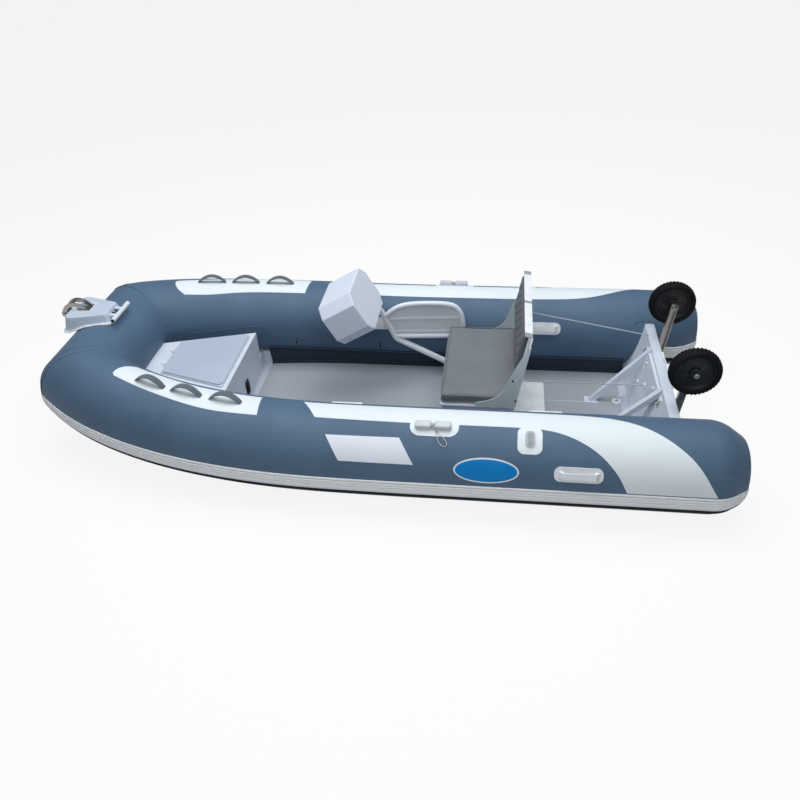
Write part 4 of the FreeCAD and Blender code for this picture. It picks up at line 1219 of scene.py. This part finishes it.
def bow_step_skin():
    """The moulding from its skirt up to the slot, and the pale rims round both."""
    waist, waist_lift = 0.0115, 0.0125
    rings = skirt_rings([(0.006, 0.001), (0.0185, 0.001), (0.0200, 0.004), (0.0185, 0.0065), (0.0145, 0.0085),
                         (waist, waist_lift)])
    for share in (0.25, 0.5, 0.75):
        ring = []
        for low, high in zip(step_loop(waist), step_loop(0.001)):
            foot = skirt_height(low.x) + waist_lift
            ring.append(Vector((*low.lerp(high, share), foot + (STEP_TOP - 0.006 - foot) * share)))
        rings.append(ring)
    rings += top_rings([(0.0008, -0.006), (-0.0008, -0.002), (-0.0035, -0.0003), (-0.006, 0.0)])
    rings += top_rings([(0.0085, 0.0), (0.0075, 0.0018), (0.0015, 0.0018), (0.0, 0.0006), (0.0, -0.0105)],
                       **ROLLER_SLOT)
    piece = sharpen(swept("skin_bow_step", rings, "step"), 45)
    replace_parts(piece, "bow_step")
    rim = top_rings([(0.0012, 0.0006), (0.0072, 0.0019), (0.0010, 0.0021), (0.0004, 0.0012)], **ROLLER_SLOT)
    sharpen(swept("step_slot_rim", rim, "white", caps=False), 60)
    lip = skirt_rings([(0.0180, 0.0005), (0.0208, 0.0010), (0.0210, 0.0040), (0.0192, 0.0070),
                       (0.0140, 0.0092)])
    sharpen(swept("step_lip", lip, "white", caps=False), 60)


CLEAT_Z = STEP_TOP - 0.024
ROLLER_CENTRE = (1.808, 0.0, 0.588)
ROLLER_PROFILE = [(0.0052, -0.0255), (0.0195, -0.0255), (0.0216, -0.0232), (0.0200, -0.006), (0.0192, 0.0),
                  (0.0200, 0.006), (0.0216, 0.0232), (0.0195, 0.0255), (0.0052, 0.0255)]


def bow_fittings():
    """Black discs in the open ends of the crossbar as painted shade of their hollow insides, the yoke between
    its stubs, the roller and its bolts.
    """
    collar = [(0.0092, 0.0), (0.0150, 0.0), (0.0150, 0.005), (0.0092, 0.005)]
    for name, side in SIDES.items():
        end = (Vector((1.487, side * 0.1041, CLEAT_Z)), AHEAD, UP * -side)
        # Black disc across the bore: painted shade of the pipe's hollow inside
        plate("cleat_bore_shade_" + name, circle(0.0102, 24), 0.0004, end, "black")
        stub = Vector((1.5300, side * 0.040, CLEAT_Z))
        turned("cleat_collar_" + name, collar, stub, -AHEAD, "pipe", steps=24, slot="stainless")
        place = (ROLLER_CENTRE[0], side * 0.0362, ROLLER_CENTRE[2])
        bolt("roller_bolt_" + name, place, ACROSS * side, 0.0078)
    yoke = [(1.532, -0.014), (1.514, -0.014), (1.508, 0.0), (1.514, 0.014), (1.532, 0.014)]
    pipe("cleat_yoke", spline([(x, y, CLEAT_Z + 0.004) for x, y in yoke], 6), 0.0032, "black_steel")
    roller = turned("roller_skin", ROLLER_PROFILE, Vector(ROLLER_CENTRE), ACROSS, "black", body="bow_roller")
    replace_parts(roller, "bow_roller")


# Tube fittings
GRAB_X = (0.710, 0.925, 1.130)
GRAB_STARBOARD_SHIFT = 0.040
GRAB_HALF, GRAB_HEIGHT = 0.0845, 0.0420


def signed_power(value, power):
    return math.copysign(abs(value) ** power, value)


def grab_ring(axes, u):
    """Flat rounded section of a handle at u, from -1 at one end to 1 at the other."""
    height = GRAB_HEIGHT * (1 - u * u) + 0.0014
    half_width = 0.0190 * (1 - 0.30 * abs(u) ** 4)
    thick = 0.0038 * (1 - 0.5 * u ** 6)
    slope = -math.atan(2 * GRAB_HEIGHT * u / GRAB_HALF)
    ring = []
    for turn in reversed(angles(12)):
        across = signed_power(math.cos(turn), 0.5) * half_width
        out = signed_power(math.sin(turn), 0.7) * thick
        along = u * GRAB_HALF - out * math.sin(slope)
        ring.append(on_skin(axes, along, across, height + out * math.cos(slope)))
    return ring


def grab_handles():
    """Webbing bowed up between two ends that are sewn and welded to the patch."""
    for name, side in SIDES.items():
        shift = GRAB_STARBOARD_SHIFT if side == STARBOARD else 0.0
        for k, x in enumerate(GRAB_X):
            axes = tube_axes_at(x + shift, 90, side)
            rings = [grab_ring(axes, -1 + 2 * j / 32) for j in range(33)]
            handle = swept("grab_handle_%s_%d" % (name, k), rings, "webbing")
            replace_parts(handle, "grab_handles_" + name)


def ring_fitting(label, x, angle, name):
    """Round patch with a steel ring lying on it."""
    axes = tube_axes_at(x, angle, SIDES[name])
    tube_patch(label + "_patch", on_tube(x, angle, circle(0.030, 40)), name, "tube", 0.0020, (0.02, 0.02))
    line = [on_skin(axes, along, across, 0.0075) for along, across in circle(0.015, 40)]
    pipe(label + "_ring_" + name, line, 0.0028, "steel", sides=8, closed=True)
    keeper = (on_skin(axes, 0.0, 0.0, 0.0020), axes[1], axes[2])
    plate(label + "_keeper_" + name, rounded_box(0.010, 0.040, 0.003, 3), 0.0085, keeper, "flap",
          slot="webbing")


LANYARD = [(0.002, 0.000, 0.020), (-0.006, 0.018, 0.018), (-0.016, 0.036, 0.008), (-0.022, 0.062, 0.005),
           (-0.034, 0.090, 0.003), (-0.052, 0.108, 0.002), (-0.068, 0.104, 0.002), (-0.068, 0.086, 0.003),
           (-0.050, 0.060, 0.005), (-0.026, 0.038, 0.008), (-0.010, 0.018, 0.018)]


def small_tube_fittings():
    """Rings inside, the rowlock's lanyard, the valve's tab and the lift handle's doubler."""
    doubler = on_tube(-1.022, 22, rounded_box(0.262, 0.112, 0.040, 8))
    for name, side in SIDES.items():
        ring_fitting("ring_fore", 0.628, 195, name)
        ring_fitting("ring_aft", 0.090, 196, name)
        axes = tube_axes_at(*ROWLOCK_PLACE, side)
        loop = [on_skin(axes, along, across * side, out) for along, across, out in LANYARD + LANYARD[:1]]
        pipe("rowlock_lanyard_" + name, spline(loop, 6)[:-1], 0.0015, "steel", sides=8, closed=True,
             slot="moulded_plastic")
        valve = tube_axes_at(-0.798, 62, side, 0.009)
        plate("valve_tab_" + name, rounded_box(0.024, 0.058, 0.009), 0.004, valve[:3], "fitting_dark")
        tube_patch("lift_doubler", doubler, name, "tube", lift=0.0016)


# Transom fittings
RAKE = math.radians(15.3)
TRANSOM_UP = Vector((-math.sin(RAKE), 0, math.cos(RAKE)))
TRANSOM_AFT = Vector((-math.cos(RAKE), 0, -math.sin(RAKE)))
TRANSOM_FOOT = Vector((-1.385, 0, 0))


def on_transom(across, height, aft):
    """Point by its distance from the centreline, its height and how far aft of the front face."""
    return TRANSOM_FOOT + TRANSOM_UP * (height / math.cos(RAKE)) - AHEAD * aft + ACROSS * across


EYE_Y, EYE_Z = 0.245, 0.300
DRAIN_Y = -0.155


def transom_trim():
    """Cap along the top edge, bolts of the motor pad and towing eyes."""
    cap = [on_transom(y, 0.3508, 0.0245) for y in (-0.476, 0.476)]
    pipe("transom_cap", [cap[0].lerp(cap[1], k / 12) for k in range(13)], 0.02, "hull", sides=24,
         flat=(0.0262, 0.0030, AHEAD))
    for name, side in SIDES.items():
        for k, z in enumerate((0.300, 0.180)):
            place = on_transom(side * 0.120, z, 0.0) + AHEAD * 0.0145
            bolt("pad_bolt_%s_%d" % (name, k), place, -TRANSOM_AFT, 0.0075, "white")
        eye = [on_transom(side * EYE_Y + across, EYE_Z + up, -0.010) for across, up in circle(0.016, 28)]
        pipe("transom_eye_" + name, eye, 0.0032, "steel", sides=8, closed=True)
        axes = (on_transom(side * EYE_Y, EYE_Z, 0.0), ACROSS, TRANSOM_UP)
        plate("eye_plate_" + name, rounded_box(0.034, 0.050, 0.007, 4), 0.004, axes, "white")


def drain_and_clip():
    """Ring in the deck with a hooked handle over it, and the clip on the transom's top edge."""
    turned("drain_ring", [(0.012, 0.0), (0.026, 0.0), (0.024, 0.004), (0.012, 0.004)],
           Vector((-1.327, DRAIN_Y, 0.0112)), UP, "white", steps=32)
    hook = [(-1.330, 0.015), (-1.330, 0.040), (-1.338, 0.052), (-1.352, 0.052), (-1.358, 0.040)]
    pipe("drain_hook", spline([(x, DRAIN_Y, z) for x, z in hook], 5), 0.004, "white", sides=8)
    clip = (on_transom(-0.100, 0.351, 0.040), -ACROSS, UP)
    plate("transom_clip", rounded_box(0.070, 0.036, 0.006, 4), 0.006, clip, "white")


def backrest_ties():
    """Taut ties of flat webbing from the backrest's side plates to the transom."""
    ends = {"port": [(-0.722, 0.3635, 0.478), (-1.418, 0.090, 0.296)],
            "starboard": [(-0.745, -0.3635, 0.478), (-1.482, -0.330, 0.356)]}
    for name, (start, end) in ends.items():
        start, end = Vector(start), Vector(end)
        line = [start.lerp(end, k / 12) for k in range(12)] + [end]
        pipe("back_tie_" + name, line, 0.0034, "clear", flat=(0.0034, 0.0008, UP), slot="webbing")
        run = (end - start).normalized()
        axes = (start.lerp(end, 0.055), run, UP.cross(run).normalized())
        plate("tie_buckle_" + name, rounded_box(0.030, 0.014, 0.004, 3), 0.004, axes, "clear")
    eye = (Vector((-1.4105, 0.090, 0.290)), ACROSS, TRANSOM_UP)
    plate("tie_eye", rounded_box(0.030, 0.040, 0.008, 4), 0.006, eye, "white")


# Side console: bent pipes and the sheet that fills the hoop
CONSOLE_Y = -0.385
STEM = [(-0.4904, 0.0100), (-0.020, 0.250), (0.062, 0.430), (0.140, 0.520)]
HOOP = [(-0.006, 0.266), (-0.150, 0.272), (-0.330, 0.281), (-0.388, 0.292), (-0.418, 0.330), (-0.420, 0.380),
        (-0.405, 0.440), (-0.368, 0.480), (-0.305, 0.4925), (-0.190, 0.4915), (-0.090, 0.480),
        (-0.020, 0.452), (0.040, 0.400)]
# Ends of two pale raised strips across the sheet: painted highlight bands
HIGHLIGHT_STRIPS = {"upper": ((0.020, 0.386), (-0.404, 0.408)), "lower": ((-0.020, 0.302), (-0.392, 0.316))}


def console_point(x, z, out=0.0):
    return Vector((x, CONSOLE_Y + out, z))


def console_skins():
    """Painted pipes, their foot, and the sheet inside the hoop, with two pale raised strips across the sheet
    whose paler paint is painted highlight.
    """
    stem = rounded(STEM, [0.06, 0.06], 10)
    lines = {"stem": (divided(stem) + [stem[-1]], 0.0180), "hoop": (spline(HOOP, 6), 0.0155)}
    shown = [pipe("console_" + name, [console_point(*p) for p in line], radius, "pipe", sides=24)
             for name, (line, radius) in lines.items()]
    foot = (Vector((-0.485, -0.380, DECK_TOP)), AHEAD, ACROSS)
    shown.append(plate("console_foot", rounded_box(0.090, 0.050, 0.008, 4), 0.005, foot, "pipe"))
    for piece in shown:
        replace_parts(piece, "console_frame")
    axes = (console_point(0, 0, 0.002), AHEAD, UP)
    sheet = plate("console_sheet", lines["hoop"][0][::-1], 0.004, axes, "panel")
    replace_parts(sheet, "console_side_panel")
    for label, ends in HIGHLIGHT_STRIPS.items():
        start, end = (console_point(x, z, 0.0035) for x, z in ends)
        axes = ((start + end) / 2, (end - start).normalized(), UP)
        outline = rounded_box((end - start).length, 0.016, 0.007)
        crease = plate("console_highlight_strip_" + label, outline, 0.0030, axes, "pipe")
        bevelled(crease, 0.0012)
    for label, x in (("aft", -0.505), ("fore", -0.465)):
        bolt("foot_bolt_" + label, (x, -0.361, 0.015), UP, 0.005)


# Launching wheels, as (radius, along the axle) profiles from one face to the middle or the other face
HUB = Vector((-1.580, 0.345, 0.560))
WALL = 0.030
TYRE_HALF = [(0.0925, -0.0215), (0.0945, -0.0260), (0.100, -WALL), (0.106, -WALL), (0.1065, 0.0008 - WALL),
             (0.1105, 0.0008 - WALL), (0.111, -WALL), (0.1145, -0.0280), (0.1185, -0.0230), (0.1205, -0.016)]
RIM_HALF = [(0.0085, -0.0240), (0.0250, -0.0240), (0.0272, -0.0222), (0.0290, -0.0080), (0.0350, -0.0068),
            (0.0620, -0.0068), (0.0640, -0.0092), (0.0700, -0.0092), (0.0720, -0.0068), (0.0790, -0.0072),
            (0.0885, -0.0212), (0.0925, -0.0222)]
TREAD_BLOCKS = 40
TREAD_ROWS = [(-0.0262, -0.0105, 0.5, -0.030), (-0.0085, 0.0085, 0.0, 0.0), (0.0105, 0.0262, 0.5, 0.030)]
TREAD_FOOT, TREAD_TOP, TREAD_DROP = 0.1195, 0.1252, 0.0045


def other_half(profile):
    return [(r, -along) for r, along in reversed(profile)]


def tread_blocks(hub, name):
    """Three rows of blocks, the outer ones slanted and set lower."""
    verts, faces = [], []
    wide = 2 * math.pi / TREAD_BLOCKS * 0.66
    for y0, y1, skew, lean in TREAD_ROWS:
        for k in range(TREAD_BLOCKS):
            start = 2 * math.pi * (k + skew) / TREAD_BLOCKS
            middle = start + lean / 2 + wide / 2
            base = len(verts)
            for r, share in ((TREAD_FOOT, 0.0), (TREAD_TOP, 0.07)):
                for y, a in ((y0, start), (y1, start + lean), (y1, start + lean + wide), (y0, start + wide)):
                    a = a + (middle - a) * share
                    reach = r - (TREAD_DROP if abs(y) > 0.02 else 0.0)
                    across = y + ((y0 + y1) / 2 - y) * share
                    verts.append(hub + Vector((math.cos(a) * reach, across, math.sin(a) * reach)))
            faces += [(base, base + 1, base + 2, base + 3), (base + 7, base + 6, base + 5, base + 4)]
            for j in range(4):
                n = (j + 1) % 4
                faces.append((base + j, base + 4 + j, base + 4 + n, base + n))
    tread = add_mesh("tread_" + name, verts, faces, "tyre", body="wheel_" + name, smooth=False)
    bm = bmesh.new()
    bm.from_mesh(tread.data)
    bmesh.ops.recalc_face_normals(bm, faces=bm.faces)
    bm.to_mesh(tread.data)
    bm.free()


def rim_ribs(hub, name, side, body):
    """Six flat ribs on each face of the rim."""
    for k, a in enumerate(angles(6)):
        run = Vector((math.cos(a), 0, math.sin(a)))
        for face in (-1, 1):
            place = hub + run * 0.048 + ACROSS * (face * 0.0066)
            axes = (place, run, Vector((run.z * face, 0, -run.x * face)))
            plate("rim_rib_%s_%d_%s" % (name, k, "out" if face * side > 0 else "in"),
                  rounded_box(0.040, 0.006, 0.0025, 3), 0.0035, axes, "rim", body=body)


def wheel_skins():
    """Tyre with its tread, rim with its ribs, and hub nut on each side."""
    for name, side in SIDES.items():
        hub = Vector((HUB.x, HUB.y * side, HUB.z))
        body = "wheel_" + name
        profile = TYRE_HALF + [(0.1210, 0.0)] + other_half(TYRE_HALF) + [(0.0925, 0.0)]
        tyre = turned("tyre_" + name, profile, hub, ACROSS, "tyre", steps=80, body=body)
        tread_blocks(hub, name)
        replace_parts(tyre, "wheel_tyre_" + name)
        rim = turned("rim_" + name, RIM_HALF + other_half(RIM_HALF), hub, ACROSS, "rim", steps=72, body=body)
        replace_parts(rim, "wheel_rim_" + name)
        rim_ribs(hub, name, side, body)
        outward = ACROSS * side
        bolt("hub_nut_" + name, hub + outward * 0.0415, outward, 0.0105, body="wheel_leg_" + name)


# Floor, backdrop and light
def make_stage():
    """Pale floor that shows white and keeps the shadow, but throws back little light."""
    bpy.ops.mesh.primitive_plane_add(size=60.0, location=(0, 0, 0))
    floor = bpy.context.object
    floor.name = "floor"
    s = Shader("floor")
    s.set(Base_Color=(0.90, 0.91, 0.92), Roughness=0.9)
    path = s.put("LightPath").outputs
    white = s.put("Emission", {"Color": (1, 1, 1, 1), "Strength": 1.0}).outputs[0]
    dim = s.put("BsdfDiffuse", {"Color": (0.58, 0.59, 0.61, 1)}).outputs[0]
    seen = s.math("MAXIMUM", path["Is Camera Ray"], s.math("MULTIPLY", path["Is Glossy Ray"], 0.4))
    glow = s.put("MixShader", {0: 0.88, 1: s.surface.outputs[0], 2: white}).outputs[0]
    out = s.put("MixShader", {0: seen, 1: dim, 2: glow}).outputs[0]
    s.links.new(out, s.nodes["Material Output"].inputs["Surface"])
    floor.data.materials.append(s.material)


def area_light(name, place, target, size, power, colour=(1, 1, 1)):
    data = bpy.data.lights.new(name, "AREA")
    data.shape = "RECTANGLE"
    data.size, data.size_y = size
    data.energy = power
    data.color = colour
    lamp = bpy.data.objects.new(name, data)
    lamp.location = place
    lamp.rotation_euler = (Vector(target) - Vector(place)).to_track_quat("-Z", "Y").to_euler()
    bpy.context.scene.collection.objects.link(lamp)


def make_light():
    """Soft light from above and from the camera's side, and a dim world that shows white."""
    area_light("sky", (0.1, -0.4, 4.6), (0, 0, 0), (5.5, 3.6), 210.0, (0.96, 0.98, 1.0))
    area_light("fill", (-0.5, 3.9, 4.0), (0, 0.3, 0.3), (5.0, 2.0), 74.0)
    world = bpy.data.worlds.new("world")
    bpy.context.scene.world = world
    world.use_nodes = True
    nodes, links = world.node_tree.nodes, world.node_tree.links
    ambient = nodes["Background"]
    ambient.inputs["Color"].default_value = (0.86, 0.92, 1.0, 1)
    ambient.inputs["Strength"].default_value = 0.155
    white = nodes.new("ShaderNodeBackground")
    white.inputs["Color"].default_value = (1, 1, 1, 1)
    white.inputs["Strength"].default_value = 1.0
    path = nodes.new("ShaderNodeLightPath")
    seen = nodes.new("ShaderNodeMath")
    seen.operation = "MAXIMUM"
    links.new(path.outputs["Is Camera Ray"], seen.inputs[0])
    links.new(path.outputs["Is Transmission Ray"], seen.inputs[1])
    mix = nodes.new("ShaderNodeMixShader")
    for index, output in enumerate((seen.outputs[0], ambient.outputs[0], white.outputs[0])):
        links.new(output, mix.inputs[index])
    links.new(mix.outputs[0], nodes["World Output"].inputs["Surface"])


# What the CAD nodes that stay are made of; a name that ends in _ has a port and a starboard node
NODE_FINISH = {
    "hull": ["hull_shell", "transom_board", "motor_pad_inner", "transom_brace_", "locker_box", "locker_lid",
             "backrest_panel", "bow_eye"],
    "inner": ["deck_panel"],
    "white": ["motor_pad_outer", "lift_handles_"],
    "pipe": ["lid_hinges", "bow_cleat"],
    "pod": ["console_pod"],
    "steel": ["bow_roller_bracket", "wheel_leg_"],
    "fitting": ["valve_"],
    "black": ["wheel_bracket_"],
}


def finish_nodes():
    """Give each CAD node that stays its material."""
    for finish, stems in NODE_FINISH.items():
        for stem in stems:
            for name in ([stem + side for side in SIDES] if stem.endswith("_") else [stem]):
                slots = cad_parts[name].data.materials
                for index in range(len(slots)):
                    slots[index] = MATERIALS[finish]
                if not slots:
                    slots.append(MATERIALS[finish])


make_camera()
make_light()
MATERIALS = make_materials()
make_stage()
finish_nodes()
tube_skin()
seam_tapes()
make_strakes()
bow_patches()
side_stripes()
fitting_patches()
bare_plates()
make_flaps()
deck_pads()
locker_trim()
bench_cushion()
backrest_cushion()
backrest_trim()
seat_skin()
aft_hatch()
seat_brackets()
bow_step_skin()
bow_fittings()
grab_handles()
small_tube_fittings()
rowlocks()
weld_lines()
transom_trim()
drain_and_clip()
backrest_ties()
console_skins()
wheel_skins()
